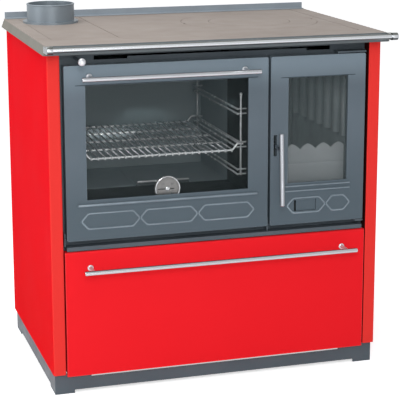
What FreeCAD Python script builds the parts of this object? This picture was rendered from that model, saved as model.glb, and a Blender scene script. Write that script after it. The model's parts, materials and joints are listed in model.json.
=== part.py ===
import FreeCAD, Part
import os
from types import SimpleNamespace

import Sketcher

# Wood-burning cookstove. Millimetres, +Z up, the front faces -Y.
# Origin: on the floor, below the middle of the overall width and depth.

# Driving sizes, by the piece that they belong to.
sizes = {
    # whole stove
    "body_width": 820, "body_depth": 545, "hob_height": 840, "sheet_wall": 2,
    "fit_gap": 0.3, "pin_play": 0.05, "cut_overrun": 5,
    # plinth and base pan
    "plinth_height": 51, "plinth_wall": 3, "plinth_side_inset": 4,
    "plinth_front_inset": 10, "plinth_back_inset": 10,
    "foot_front_width": 48, "foot_side_width": 60, "foot_notch": 8,
    "toe_gap_inset": 93, "toe_gap_depth": 13,
    # side panels, back panel, hearth sheet
    "strip_width": 30, "fold_radius": 4, "back_return": 20, "screw_radius": 2, "screw_head_radius": 4,
    "screw_head": 2, "screw_length": 8, "screw_inset": 12, "hearth_drop": 23,
    # front frame
    "frame_setback": 30, "frame_plate": 6, "frame_side_gap": 8, "frame_drop": 30,
    "vent_left_inset": 116, "vent_right_inset": 120, "vent_drop": 43, "vent_height": 10,
    "vent_strip_left_inset": 195, "vent_strip_right_inset": 182, "vent_strip_drop": 4,
    "vent_strip_thick": 3, "sill_front": 4, "sill_rise": 2, "sill_height": 9.5,
    # hob frame, rail, upstand
    "hob_slab": 10, "band_height": 22, "band_side": 12, "band_slope": 8, "band_front": 28, "band_wall": 5,
    "band_clear": 2, "hob_corner": 8,
    "seat_depth": 6, "plate_gap": 1, "ring_gap": 0.8, "ledge_width": 8, "seat_left_inset": 28,
    "flue_plate_width": 160, "seat_right_inset": 40,
    "flue_seat_front": 80, "plate_seat_front": 40, "seat_back_inset": 30,
    "plate_big_corner": 38, "plate_corner": 12,
    "rail_reach": 74, "rail_radius": 6, "rail_drop": 5, "bracket_nose": 9, "bracket_width": 14,
    "bracket_bore_depth": 10, "bracket_drop": 9,
    "upstand_height": 17, "upstand_wall": 4, "upstand_foot": 18,
    "upstand_foot_thick": 2, "upstand_overhang": 3,
    # hob ring, lid, flue collar
    "ring_side_margin": 22, "ring_back_margin": 45, "ring_front_margin": 82, "ring_width": 70, "ring_step": 6,
    "lift_notch_radius": 14, "lift_notch_depth": 5,
    "flue_inset": 68, "flue_back_inset": 85, "collar_radius": 60, "collar_wall": 4, "collar_height": 48,
    "flange_radius": 70, "flange_thick": 5, "collar_bolt_circle": 65, "collar_bolt_radius": 3,
    "collar_bolt_head_radius": 4.2, "collar_bolt_head": 3,
    # oven
    "oven_side_lap": 22, "oven_top_lap": 24, "oven_low_lap": 63, "oven_back_gap": 105,
    "baffle_end_gap": 76, "ladder_standoff": 23, "ladder_wire": 2.5,
    "ladder_front": 97, "ladder_back_gap": 14,
    "ladder_low_gap": 46, "ladder_top_gap": 78,
    "ladder_peg": 2, "ladder_post_offset": 9,
    "runner_pair": 12, "runner_overhang": 4,
    "rack_side_gap": 51, "rack_front": 58, "rack_back_gap": 31, "rack_wire": 2, "rack_drop": 12,
    "rack_bar": 2.5, "rack_bar_drop": 3, "rack_overhang": 5, "rack_riser": 2.1,
    "rack_riser_gap": 6, "rack_wing": 1.8,
    "rack_low_elbow": 2.7, "rack_high_elbow": 2.3, "rack_rail_offset": 1,
    "cover_back_gap": 51, "cover_depth": 180, "cover_lip": 8,
    # flue damper
    "damper_inset": 71, "damper_drop": 36, "damper_rod_radius": 4, "knob_radius": 9, "knob_reach": 50,
    "baffle_flue_gap": 100, "baffle_left_gap": 8, "baffle_seam_gap": 14, "damper_stroke_space": 50,
    "damper_window_gap": 17, "damper_window_end": 14, "damper_window_rise": 11, "damper_window_drop": 8,
    "damper_lap": 6,
    # firebox and ash box
    "firebox_left_lap": 5, "firebox_right_lap": 26, "lining_wall": 12,
    "lining_front_gap": 4, "firebox_back_gap": 115,
    "ash_floor_rise": 21, "fire_floor_rise": 68, "rib_radius": 13, "rib_first": 52,
    "rib_end_gap": 45, "rib_rise": 17,
    "grate_width": 120, "grate_front": 110, "grate_back_gap": 100, "grate_ledge": 6,
    "grate_thick": 6, "grate_slot": 8, "grate_pitch": 15, "grate_slot_inset": 12,
    "guard_front": 62, "guard_wall": 6, "guard_left_gap": 6, "guard_right_gap": 1, "guard_height": 104,
    "wave_half": 15, "wave_depth": 13, "wave_first_gap": 18, "wave_end_gap": 34,
    "ash_pan_gap": 4, "ash_pan_front": 44, "ash_pan_head": 7, "ash_tab_width": 50, "ash_tab_reach": 6,
    "ash_tab_thick": 3, "ash_tab_drop": 11,
    # doors
    "door_side_gap": 9, "door_gap": 7, "fire_door_width": 242, "door_drop": 51, "door_height": 412,
    "door_depth": 26, "door_skin": 6, "door_rim": 6, "door_corner": 4,
    "oven_window_side": 49, "oven_window_bottom": 96, "oven_window_top": 47,
    "fire_window_side": 44, "fire_window_bottom": 102, "fire_window_top": 52,
    "glass_thick": 4, "glass_lap": 12, "clip_base": 12, "clip_tongue": 8,
    "clip_height": 20, "clip_inset": 50,
    "liner_window_extra": 8, "seal_width": 10, "seal_margin": 3, "fire_mouth_lap": 35,
    "ridge_height": 1.5, "ridge_width": 4, "hexagon_margin": 34, "hexagon_height": 41, "hexagon_slope": 18,
    "hexagon_rise": 25, "fire_hexagon_start": 42, "fire_hexagon_end": 35,
    "ledge_margin": 26.5, "fire_ledge_margin": 36, "ledge_rise": 81, "ledge_height": 6, "ledge_reach": 4,
    "ledge_step": 12,
    # hinges
    "hinge_pin_radius": 4, "oven_hinge_back": 19, "oven_hinge_rise": 8, "hinge_ear": 3, "hinge_side_gap": 2,
    "hinge_ear_front": 10, "hinge_ear_drop": 15, "hinge_ear_height": 33, "hinge_foot_width": 24,
    "hinge_foot_height": 12, "hinge_foot_thick": 2, "pin_setback": 0.5,
    "fire_hinge_inset": 8, "fire_hinge_back": 10, "fire_tab_thick": 4,
    "fire_tab_gap": 2, "fire_tab_front": 2,
    "fire_tab_reach": 2, "fire_tab_low_width": 21, "fire_tab_high_width": 74,
    # bars and posts
    "bar_radius": 5.5, "bar_reach": 45, "post_radius": 4, "oven_bar_margin": 33, "oven_post_inset": 26,
    "oven_bar_drop": 26, "drawer_bar_margin": 70, "drawer_post_inset": 23, "drawer_bar_drop": 40,
    # thermometer
    "dial_radius": 31, "dial_rise": 11.5, "dial_front": 11.2, "dial_depth": 6.8,
    "bezel_width": 3, "bezel_depth": 1,
    "needle_length": 24, "needle_tail": 16, "needle_width": 2.4, "needle_thick": 0.6, "needle_gap": 0.2,
    "needle_hub": 4, "dial_strap_width": 15, "dial_strap_thick": 2, "dial_strap_drop": 44.5,
    # fire door lever, latch, air slider
    "lever_inset": 12, "lever_rise": 197, "lever_thick": 5, "lever_slot_width": 9, "lever_slot_height": 52,
    "lever_pivot_back": 16, "lever_stem_height": 8, "lever_stem_reach": 44,
    "lever_boss": 8, "lever_pin_radius": 3,
    "hook_reach": 45, "hook_nose": 6, "hook_rise": 9.2, "hook_drop": 8,
    "fire_bar_rise": 37, "fire_bar_length": 174, "fire_bar_top_reach": 42, "fire_bar_lean": 3.6,
    "latch_ear": 2.4, "latch_ear_gap": 0.6, "latch_base_thick": 2,
    "latch_base_height": 64, "latch_ear_height": 20,
    "latch_ear_depth": 14, "catch_width": 13, "catch_top_gap": 0.8, "catch_height": 32,
    "slider_start": 61, "slider_window_width": 58, "slider_window_height": 28, "slider_rise": 31,
    "slider_open": 7, "slider_sink": 3, "slider_flange": 4, "slider_flange_thick": 2, "slider_guide": 4,
    "slider_guide_lip": 2, "slider_guide_width": 82,
    # wood drawer
    "drawer_gap": 3, "drawer_plinth_lap": 6, "drawer_door_gap": 27,
    "drawer_flange": 24, "drawer_low_flange": 8,
    "drawer_round": 4, "tray_side_gap": 65, "tray_back_gap": 47, "tray_rise": 15, "tray_head": 60,
    "slide_height": 20, "slide_width": 10, "slide_front": 10, "runner_front": 40,
    "runner_back_gap": 65, "runner_reach": 5,
}

# Counts, and shares of the size that they follow.
grate_slots = 7
rack_wires = 22
rack_cross_bars = 5
rib_count = 7
guard_dips = 5
oven_hexagons = 3
screw_height_shares = (0.06, 0.35, 0.65, 0.94)
collar_bolt_angles = (0, 120, 240)
ridge_slant_share = 0.45
mitre_share = 1.4
runner_height_shares = (0.148, 0.357, 0.612)
cover_shift_share = 0.12
cover_width_share = 0.305
long_hexagon_share = 0.612
slide_height_share = 0.375

doc = FreeCAD.newDocument("cookstove")
sheet = doc.addObject("Spreadsheet::Sheet", "Sizes")
for row, (alias, amount) in enumerate(sizes.items(), start=1):
    sheet.set("A%d" % row, alias)
    sheet.set("B%d" % row, str(amount))
    sheet.setAlias("B%d" % row, alias)
doc.recompute()


def text_of(value):
    return value.text if isinstance(value, Size) else repr(value)


def number_of(value):
    return value.number if isinstance(value, Size) else value


class Size:
    # A length: the expression that a property is bound to, and its present number.
    def __init__(self, text, number):
        self.text = text
        self.number = number

    def __add__(self, other):
        return Size("(%s + %s)" % (self.text, text_of(other)), self.number + number_of(other))

    def __sub__(self, other):
        return Size("(%s - %s)" % (self.text, text_of(other)), self.number - number_of(other))

    def __mul__(self, other):
        return Size("(%s * %s)" % (self.text, text_of(other)), self.number * number_of(other))

    def __truediv__(self, other):
        return Size("(%s / %s)" % (self.text, text_of(other)), self.number / number_of(other))

    def __neg__(self):
        return Size("(0 - %s)" % self.text, -self.number)


size = SimpleNamespace(**{alias: Size("Sizes." + alias, float(sheet.get(alias))) for alias in sizes})
turns = {
    "X": FreeCAD.Rotation(FreeCAD.Vector(0, 1, 0), 90),
    "Y": FreeCAD.Rotation(FreeCAD.Vector(1, 0, 0), -90),
    "Z": FreeCAD.Rotation(),
}
nodes = []


def node(label, piece):
    piece.Label = label
    nodes.append(piece)
    return piece


def bind(thing, path, value):
    thing.setExpression(path, text_of(value))


def place(piece, x, y, z):
    for path, value in (("x", x), ("y", y), ("z", z)):
        bind(piece, "Placement.Base." + path, value)
    return piece


def box(name, x, y, z):
    # A block between a low and a high place along each axis.
    piece = doc.addObject("Part::Box", name)
    for path, (low, high) in (("Length", x), ("Width", y), ("Height", z)):
        bind(piece, path, high - low)
    return place(piece, x[0], y[0], z[0])


def cylinder(name, axis, centre, span, radius):
    # A rod along an axis. centre holds the two other coordinates in X, Y, Z order.
    piece = doc.addObject("Part::Cylinder", name)
    bind(piece, "Radius", radius)
    bind(piece, "Height", span[1] - span[0])
    piece.Placement = FreeCAD.Placement(FreeCAD.Vector(), turns[axis])
    spot = list(centre)
    spot.insert("XYZ".index(axis), span[0])
    return place(piece, *spot)


def cut(name, base, *tools):
    piece = base
    for tool in tools:
        result = doc.addObject("Part::Cut", name if tool is tools[-1] else name + "_step")
        result.Base = piece
        result.Tool = tool
        piece = result
    return piece


def fuse(name, *pieces):
    piece = doc.addObject("Part::MultiFuse", name)
    piece.Shapes = list(pieces)
    piece.Refine = True
    return piece


def group(name, *pieces):
    piece = doc.addObject("Part::Compound", name)
    piece.Links = list(pieces)
    return piece


def body(name):
    return doc.addObject("PartDesign::Body", name)


def origin_part(owner, role):
    return next(part for part in owner.Origin.OriginFeatures if part.Role == role)


def rectangle(u, v):
    return [(u[0], v[0]), (u[1], v[0]), (u[1], v[1]), (u[0], v[1])]


def circle(u, v, radius):
    return SimpleNamespace(u=u, v=v, radius=radius)


def tie(drawing, kind, geometry, point, value):
    # A dimension from the sketch origin to a point of the geometry.
    index = drawing.addConstraint(Sketcher.Constraint(kind, -1, 1, geometry, point, number_of(value)))
    bind(drawing, "Constraints[%d]" % index, value)


def draw_circle(drawing, loop):
    middle = FreeCAD.Vector(number_of(loop.u), number_of(loop.v), 0)
    ring = drawing.addGeometry(Part.Circle(middle, FreeCAD.Vector(0, 0, 1), number_of(loop.radius)), False)
    index = drawing.addConstraint(Sketcher.Constraint("Radius", ring, number_of(loop.radius)))
    bind(drawing, "Constraints[%d]" % index, loop.radius)
    tie(drawing, "DistanceX", ring, 3, loop.u)
    tie(drawing, "DistanceY", ring, 3, loop.v)


def draw_polygon(drawing, loop):
    first = drawing.GeometryCount
    count = len(loop)
    corners = [FreeCAD.Vector(number_of(u), number_of(v), 0) for u, v in loop]
    for index in range(count):
        drawing.addGeometry(Part.LineSegment(corners[index], corners[(index + 1) % count]), False)
    for index in range(count):
        after = first + (index + 1) % count
        drawing.addConstraint(Sketcher.Constraint("Coincident", first + index, 2, after, 1))
    for index, (u, v) in enumerate(loop):
        tie(drawing, "DistanceX", first + index, 1, u)
        tie(drawing, "DistanceY", first + index, 1, v)


def sketch(owner, plane, loops, at):
    drawing = owner.newObject("Sketcher::SketchObject", owner.Name + "_sketch")
    drawing.AttachmentSupport = [(origin_part(owner, plane + "_Plane"), "")]
    drawing.MapMode = "FlatFace"
    bind(drawing, "AttachmentOffset.Base.z", at)
    for loop in loops:
        if isinstance(loop, list):
            draw_polygon(drawing, loop)
        else:
            draw_circle(drawing, loop)
    return drawing


def pad(owner, plane, loops, low, high):
    # Material between two places along the plane's axis. The XZ plane's normal points to the front.
    at = -high if plane == "XZ" else low
    feature = owner.newObject("PartDesign::Pad", owner.Name + "_pad")
    feature.Profile = sketch(owner, plane, loops, at)
    bind(feature, "Length", high - low)
    return feature


def pocket(owner, plane, loops, low, high):
    # A cut between two places along the plane's axis.
    at = -low if plane == "XZ" else high
    feature = owner.newObject("PartDesign::Pocket", owner.Name + "_pocket")
    feature.Profile = sketch(owner, plane, loops, at)
    bind(feature, "Length", high - low)
    return feature


def revolve(owner, loops):
    # A turned piece about its own Z axis: the points are (radius, height).
    feature = owner.newObject("PartDesign::Revolution", owner.Name + "_turn")
    feature.Profile = sketch(owner, "XZ", loops, 0)
    feature.ReferenceAxis = (origin_part(owner, "Z_Axis"), [""])
    feature.Angle = 360
    return feature


def round_edges(owner, axis, corners, radius):
    # Rounds the straight edges along an axis that stand at the given corners.
    doc.recompute()
    tip = owner.Tip
    others = [index for index in range(3) if "XYZ"[index] != axis]
    names = []
    for index, edge in enumerate(tip.Shape.Edges, start=1):
        start, end = edge.Vertexes[0].Point, edge.Vertexes[-1].Point
        for u, v in corners:
            spot = (number_of(u), number_of(v))
            gaps = [abs(point[other] - spot[slot])
                    for point in (start, end) for slot, other in enumerate(others)]
            if max(gaps) < number_of(size.pin_play):
                names.append("Edge%d" % index)
    feature = owner.newObject("PartDesign::Fillet", owner.Name + "_round")
    feature.Base = (tip, sorted(set(names)))
    bind(feature, "Radius", radius)
    return feature


# Main planes of the stove.
front = (size.rail_reach - size.body_depth) / 2
back = front + size.body_depth
half = size.body_width / 2
inner = half - size.sheet_wall
hob_under = size.hob_height - size.hob_slab
frame_front = front + size.frame_setback
frame_back = frame_front + size.frame_plate
return_back = back - size.screw_head - size.sheet_wall
return_front = return_back - size.sheet_wall

# Door and window places.
door_right = half - size.strip_width - size.door_side_gap
door_left = -door_right
fire_left = door_right - size.fire_door_width
oven_door_right = fire_left - size.door_gap
oven_door_half = (oven_door_right - door_left) / 2
oven_middle = (door_left + oven_door_right) / 2
fire_middle = (fire_left + door_right) / 2
door_top = size.hob_height - size.door_drop
door_bottom = door_top - size.door_height
door_back = front + size.door_depth
skin_back = front + size.door_skin
oven_window_x = (door_left + size.oven_window_side, oven_door_right - size.oven_window_side)
oven_window_z = (door_bottom + size.oven_window_bottom, door_top - size.oven_window_top)
fire_window_x = (fire_left + size.fire_window_side, door_right - size.fire_window_side)
fire_window_z = (door_bottom + size.fire_window_bottom, door_top - size.fire_window_top)
hearth_level = door_bottom - size.hearth_drop
hearth_top = hearth_level + size.sheet_wall
lever_x = fire_left + size.lever_inset
lever_level = door_bottom + size.lever_rise

# Oven and firebox places.
oven_left = door_left + size.oven_side_lap
oven_right = oven_door_right - size.oven_side_lap
oven_bottom = door_bottom + size.oven_low_lap
oven_top = door_top - size.oven_top_lap
oven_height = oven_top - oven_bottom
oven_width = oven_right - oven_left
oven_back = back - size.oven_back_gap + size.frame_setback + size.frame_plate
oven_roof = oven_top + size.sheet_wall
oven_under = oven_bottom - size.sheet_wall
oven_mouth_x = (oven_left, oven_right)
oven_mouth_z = (oven_bottom, oven_top)
ash_floor = door_bottom + size.ash_floor_rise
fire_floor = door_bottom + size.fire_floor_rise
fire_floor_top = fire_floor + size.lining_wall
fire_mouth_x = (fire_left + size.fire_mouth_lap, door_right - size.fire_mouth_lap)
fire_mouth_z = (ash_floor, oven_top)
firebox_left = fire_left - size.firebox_left_lap
firebox_right = door_right - size.firebox_right_lap
firebox_back = back - size.firebox_back_gap
lining_left = firebox_left - size.lining_wall
lining_right = firebox_right + size.lining_wall
lining_back = firebox_back + size.lining_wall
guard_top = fire_floor_top + size.guard_height

# Hob and flue places.
seat_left = -half + size.seat_left_inset
seat_seam = seat_left + size.flue_plate_width
seat_right = half - size.seat_right_inset
seat_back = back - size.seat_back_inset
ring_radius = (seat_back - front - size.plate_seat_front - size.ring_back_margin - size.ring_front_margin) / 2
lid_radius = ring_radius - size.ring_width
ring_x = seat_right - size.ring_side_margin - ring_radius
ring_y = seat_back - size.ring_back_margin - ring_radius
flue_x = seat_left + size.flue_inset
flue_y = seat_back - size.flue_back_inset
damper_x = -half + size.damper_inset
damper_level = size.hob_height - size.damper_drop
rod_bore = size.damper_rod_radius + size.pin_play

# Drawer places.
drawer_bottom = size.plinth_height - size.drawer_plinth_lap
drawer_top = door_bottom - size.drawer_door_gap


def grow(span, amount):
    return (span[0] - amount, span[1] + amount)


def around(middle, width):
    return (middle - width / 2, middle + width / 2)


def make_plinth():
    x = (-half + size.plinth_side_inset, half - size.plinth_side_inset)
    y = (front + size.plinth_front_inset, return_back - size.plinth_back_inset)
    piece = body("plinth")
    inside = rectangle(grow(x, -size.plinth_wall), grow(y, -size.plinth_wall))
    pad(piece, "XY", [rectangle(x, y), inside], 0, size.plinth_height)
    long_notch = rectangle(grow(x, -size.foot_front_width), (-size.cut_overrun, size.foot_notch))
    pocket(piece, "XZ", [long_notch], y[0] - size.cut_overrun, y[1] + size.cut_overrun)
    side_notch = rectangle(grow(y, -size.foot_side_width), (-size.cut_overrun, size.foot_notch))
    pocket(piece, "YZ", [side_notch], x[0] - size.cut_overrun, x[1] + size.cut_overrun)
    toe_low = size.plinth_height - size.toe_gap_depth
    toe_x = (-half + size.toe_gap_inset, half - size.toe_gap_inset)
    toe = rectangle(toe_x, (toe_low, size.plinth_height + size.cut_overrun))
    pocket(piece, "XZ", [toe], y[0] - size.cut_overrun, y[0] + size.plinth_wall + size.cut_overrun)
    node("plinth", piece)
    pan = box("base_pan", (-inner, inner), (frame_front, return_front),
              (size.plinth_height, size.plinth_height + size.sheet_wall))
    node("base_pan", pan)


def make_side_panel(label, side):
    # A folded sheet: the front strip turns back into the doorway, and the rear edge turns in behind the back.
    wall = size.sheet_wall
    out = half
    strip = half - size.strip_width
    hem = inner - size.back_return
    outline = [
        (out, front), (out, return_back), (hem, return_back), (hem, return_front), (inner, return_front),
        (inner, front + wall), (strip + wall, front + wall), (strip + wall, frame_front), (strip, frame_front),
        (strip, front),
    ]
    outline = [(x * side, y) for x, y in outline]
    piece = body(label)
    pad(piece, "XY", [outline], size.plinth_height, hob_under)
    folds = [(out * side, front), (strip * side, front)]
    round_edges(piece, "Z", folds, size.fold_radius)
    hole_x = (half - size.screw_inset) * side
    rise = hob_under - size.plinth_height
    holes = [circle(hole_x, size.plinth_height + rise * share, size.screw_radius + size.pin_play)
             for share in screw_height_shares]
    pocket(piece, "XZ", holes, return_front - size.cut_overrun, return_back + size.cut_overrun)
    node(label, piece)


def make_back():
    piece = body("back_panel")
    rise = hob_under - size.plinth_height
    spots = [((half - size.screw_inset) * side, size.plinth_height + rise * share)
             for side in (-1, 1) for share in screw_height_shares]
    holes = [circle(x, z, size.screw_radius + size.pin_play) for x, z in spots]
    sheet_loop = rectangle((-inner, inner), (size.plinth_height, hob_under))
    pad(piece, "XZ", [sheet_loop] + holes, return_back, return_back + size.sheet_wall)
    node("back_panel", piece)
    head_y = return_back + size.sheet_wall
    screws = []
    for x, z in spots:
        shank_y = (head_y - size.screw_length, head_y)
        shank = cylinder("back_screw_shank", "Y", (x, z), shank_y, size.screw_radius)
        head = cylinder("back_screw_head", "Y", (x, z), (head_y, back), size.screw_head_radius)
        screws.append(fuse("back_screw", shank, head))
    node("back_panel_screws", group("back_panel_screws", *screws))
    hearth = box("hearth_sheet", (-inner, inner), (frame_back, return_front), (hearth_level, hearth_top))
    node("hearth_sheet", hearth)


def make_front_frame():
    piece = body("front_frame")
    x = (-half + size.frame_side_gap, half - size.frame_side_gap)
    vent_low = size.hob_height - size.vent_drop
    vent_z = (vent_low, vent_low + size.vent_height)
    catch_top = lever_level + size.hook_rise + size.catch_top_gap
    loops = [
        rectangle(x, (door_bottom - size.frame_drop, hob_under)),
        rectangle(oven_mouth_x, oven_mouth_z),
        rectangle(fire_mouth_x, fire_mouth_z),
        rectangle(around(lever_x, size.catch_width), (catch_top - size.catch_height, catch_top)),
        circle(damper_x, damper_level, rod_bore),
        rectangle((-half + size.vent_left_inset, half - size.vent_right_inset), vent_z),
    ]
    pad(piece, "XZ", loops, frame_front, frame_back)
    sill_low = drawer_top + size.sill_rise
    sill = rectangle((door_left, door_right), (sill_low, sill_low + size.sill_height))
    pad(piece, "XZ", [sill], front + size.sill_front, frame_front)
    node("front_frame", piece)
    # The strip stands in front of the long slot and laps the frame below it.
    strip = box("vent_strip", (-half + size.vent_strip_left_inset, half - size.vent_strip_right_inset),
                (frame_front - size.vent_strip_thick, frame_front),
                (vent_z[0] - size.vent_strip_drop, vent_z[1] - size.vent_strip_drop))
    node("vent_strip", strip)


def make_hob_frame():
    piece = body("hob_frame")
    x = (-half - size.band_side, half + size.band_side)
    y = (front - size.band_front, back)
    low = size.hob_height - size.band_height
    over = size.cut_overrun
    pad(piece, "XY", [rectangle(x, y)], low, size.hob_height)
    round_edges(piece, "Z", [(x[0], y[0]), (x[1], y[0])], size.hob_corner)
    for side in (-1, 1):
        # The side bands lean outwards towards their lower edge.
        foot = x[1] * side
        head = foot - size.band_slope * side
        lean = [(foot, low), (head, size.hob_height), (head, size.hob_height + over),
                (foot + over * side, size.hob_height + over), (foot + over * side, low)]
        pocket(piece, "XZ", [lean], y[0] - over, back + over)
    hollow = rectangle(grow((-half, half), size.band_clear), (y[0] + size.band_wall, back + over))
    pocket(piece, "XY", [hollow], low - over, hob_under)
    seat_floor = size.hob_height - size.seat_depth
    flue_span = (front + size.flue_seat_front, seat_back)
    plate_span = (front + size.plate_seat_front, seat_back)
    seat = [
        (seat_left, flue_span[0]), (seat_seam, flue_span[0]), (seat_seam, plate_span[0]),
        (seat_right, plate_span[0]), (seat_right, plate_span[1]), (seat_left, plate_span[1]),
    ]
    pocket(piece, "XY", [seat], seat_floor, size.hob_height + over)
    round_edges(piece, "Z", [(seat_seam, plate_span[0])], size.plate_big_corner)
    ledge = size.ledge_width
    holes = [
        rectangle(grow((seat_left, seat_seam), -ledge), grow(flue_span, -ledge)),
        rectangle(grow((seat_seam, seat_right), -ledge), grow(plate_span, -ledge)),
    ]
    pocket(piece, "XY", holes, hob_under - over, seat_floor)
    node("hob_frame", piece)


def make_hob_plates():
    seat_floor = size.hob_height - size.seat_depth
    gap = size.plate_gap
    seat_y = (front + size.flue_seat_front, seat_back)
    outline = rectangle(grow((seat_left, seat_seam), -gap), grow(seat_y, -gap))
    piece = body("flue_plate")
    bolts = [circle(x, y, size.collar_bolt_radius + size.pin_play) for x, y in collar_bolt_spots()]
    hole = circle(flue_x, flue_y, size.collar_radius - size.collar_wall)
    pad(piece, "XY", [outline, hole] + bolts, seat_floor, size.hob_height)
    node("flue_plate", piece)
    plate_x = grow((seat_seam, seat_right), -gap)
    plate_y = grow((front + size.plate_seat_front, seat_back), -gap)
    step_z = size.hob_height - size.seat_depth / 2
    piece = body("cooking_plate")
    low_hole = circle(ring_x, ring_y, ring_radius - size.ring_step)
    pad(piece, "XY", [rectangle(plate_x, plate_y), low_hole], seat_floor, size.hob_height)
    high_hole = circle(ring_x, ring_y, ring_radius + size.ring_gap)
    pocket(piece, "XY", [high_hole], step_z, size.hob_height + size.cut_overrun)
    round_edges(piece, "Z", [(plate_x[0], plate_y[0])], size.plate_big_corner)
    others = [(plate_x[1], plate_y[0]), (plate_x[1], plate_y[1]), (plate_x[0], plate_y[1])]
    round_edges(piece, "Z", others, size.plate_corner)
    node("cooking_plate", piece)


def collar_bolt_spots():
    # Places on the bolt circle, from the angle's own sine and cosine.
    spots = []
    for angle in collar_bolt_angles:
        arm = FreeCAD.Rotation(FreeCAD.Vector(0, 0, 1), angle).multVec(FreeCAD.Vector(1, 0, 0))
        spots.append((flue_x + size.collar_bolt_circle * arm.x, flue_y + size.collar_bolt_circle * arm.y))
    return spots


def make_ring_and_lid():
    gap = size.ring_gap
    thick = size.seat_depth
    step = thick / 2
    floor = size.hob_height - thick
    ring = body("hob_ring_turned")
    lid_edge = lid_radius + gap
    revolve(ring, [[
        (lid_radius - size.ring_step, 0), (ring_radius - size.ring_step - gap, 0),
        (ring_radius - size.ring_step - gap, step), (ring_radius, step), (ring_radius, thick),
        (lid_edge, thick), (lid_edge, step), (lid_radius - size.ring_step, step),
    ]])
    place(ring, ring_x, ring_y, floor)
    reach = ring_radius + size.lift_notch_radius - size.lift_notch_depth
    notches = [cylinder("lift_notch", "Z", (ring_x + reach * side, ring_y),
                        (floor - size.cut_overrun, size.hob_height + size.cut_overrun), size.lift_notch_radius)
               for side in (-1, 1)]
    node("hob_ring", cut("hob_ring", ring, *notches))
    lid = body("hob_lid")
    low_edge = lid_radius - size.ring_step - gap
    revolve(lid, [[(0, 0), (low_edge, 0), (low_edge, step), (lid_radius, step), (lid_radius, thick),
                   (0, thick)]])
    place(lid, ring_x, ring_y, floor)
    node("hob_lid", lid)


def make_flue_collar():
    piece = body("flue_collar_turned")
    bore = size.collar_radius - size.collar_wall
    revolve(piece, [[
        (bore, 0), (size.flange_radius, 0), (size.flange_radius, size.flange_thick),
        (size.collar_radius, size.flange_thick), (size.collar_radius, size.collar_height),
        (bore, size.collar_height),
    ]])
    place(piece, flue_x, flue_y, size.hob_height)
    # The bolt heads sit flush in the flange, so that a flue pipe goes down onto it.
    top = size.hob_height + size.flange_thick
    head_z = top - size.collar_bolt_head
    bottom = size.hob_height - size.seat_depth
    holes = []
    bolts = []
    for spot in collar_bolt_spots():
        holes.append(cylinder("collar_bolt_hole", "Z", spot, (bottom, top),
                              size.collar_bolt_radius + size.pin_play))
        holes.append(cylinder("collar_head_hole", "Z", spot, (head_z, top + size.cut_overrun),
                              size.collar_bolt_head_radius + size.pin_play))
        shank = cylinder("collar_bolt_shank", "Z", spot, (bottom, head_z), size.collar_bolt_radius)
        head = cylinder("collar_bolt_cap", "Z", spot, (head_z, top), size.collar_bolt_head_radius)
        bolts.append(fuse("collar_bolt", shank, head))
    node("flue_collar", cut("flue_collar", piece, *holes))
    node("collar_bolts", group("collar_bolts", *bolts))


def make_upstand_and_rail():
    top = size.hob_height
    piece = body("rear_upstand")
    foot = back - size.upstand_foot
    wall = back - size.upstand_wall
    pad(piece, "YZ", [[
        (foot, top), (back, top), (back, top + size.upstand_height), (wall, top + size.upstand_height),
        (wall, top + size.upstand_foot_thick), (foot, top + size.upstand_foot_thick),
    ]], -half - size.upstand_overhang, half + size.upstand_overhang)
    node("rear_upstand", piece)
    rail_y = front - size.rail_reach + size.bracket_nose
    rail_z = size.hob_height - size.rail_drop
    end = half + size.band_side
    inside = end - size.bracket_width
    rail_end = inside + size.bracket_bore_depth
    rail = cylinder("front_rail", "X", (rail_y, rail_z), (-rail_end, rail_end), size.rail_radius)
    node("front_rail", rail)
    brackets = []
    for side, span in ((-1, (-end, -inside)), (1, (inside, end))):
        arm = box("rail_arm", span, (rail_y, front - size.band_front),
                  (rail_z - size.bracket_drop, size.hob_height))
        nose = cylinder("rail_nose", "X", (rail_y, rail_z), span, size.bracket_nose)
        bore_span = (inside - size.cut_overrun, rail_end)
        if side < 0:
            bore_span = (-rail_end, -inside + size.cut_overrun)
        bore = cylinder("rail_bore", "X", (rail_y, rail_z), bore_span, size.rail_radius + size.pin_play)
        brackets.append(cut("rail_bracket", fuse("rail_bracket_whole", arm, nose), bore))
    node("rail_brackets", group("rail_brackets", *brackets))


def make_oven():
    wall = size.sheet_wall
    outer = rectangle(grow(oven_mouth_x, wall), grow(oven_mouth_z, wall))
    piece = body("oven_box")
    pad(piece, "XZ", [outer, rectangle(oven_mouth_x, oven_mouth_z)], frame_back, oven_back)
    pad(piece, "XZ", [outer], oven_back, oven_back + wall)
    node("oven_box", piece)
    baffle = box("oven_baffle", around(oven_middle, wall), (frame_back, oven_back - size.baffle_end_gap),
                 (hearth_top, oven_under))
    node("oven_baffle", baffle)
    cover_x = around(oven_middle + oven_width * cover_shift_share, oven_width * cover_width_share)
    cover_y = (oven_back - size.cover_back_gap - size.cover_depth, oven_back - size.cover_back_gap)
    top = oven_bottom + wall
    cover = body("oven_floor_cover")
    pad(cover, "YZ", [[
        (cover_y[0], oven_bottom), (cover_y[1], oven_bottom), (cover_y[1], top), (cover_y[0] + wall, top),
        (cover_y[0] + wall, top + size.cover_lip), (cover_y[0], top + size.cover_lip),
    ]], cover_x[0], cover_x[1])
    node("oven_floor_cover", cover)


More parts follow.
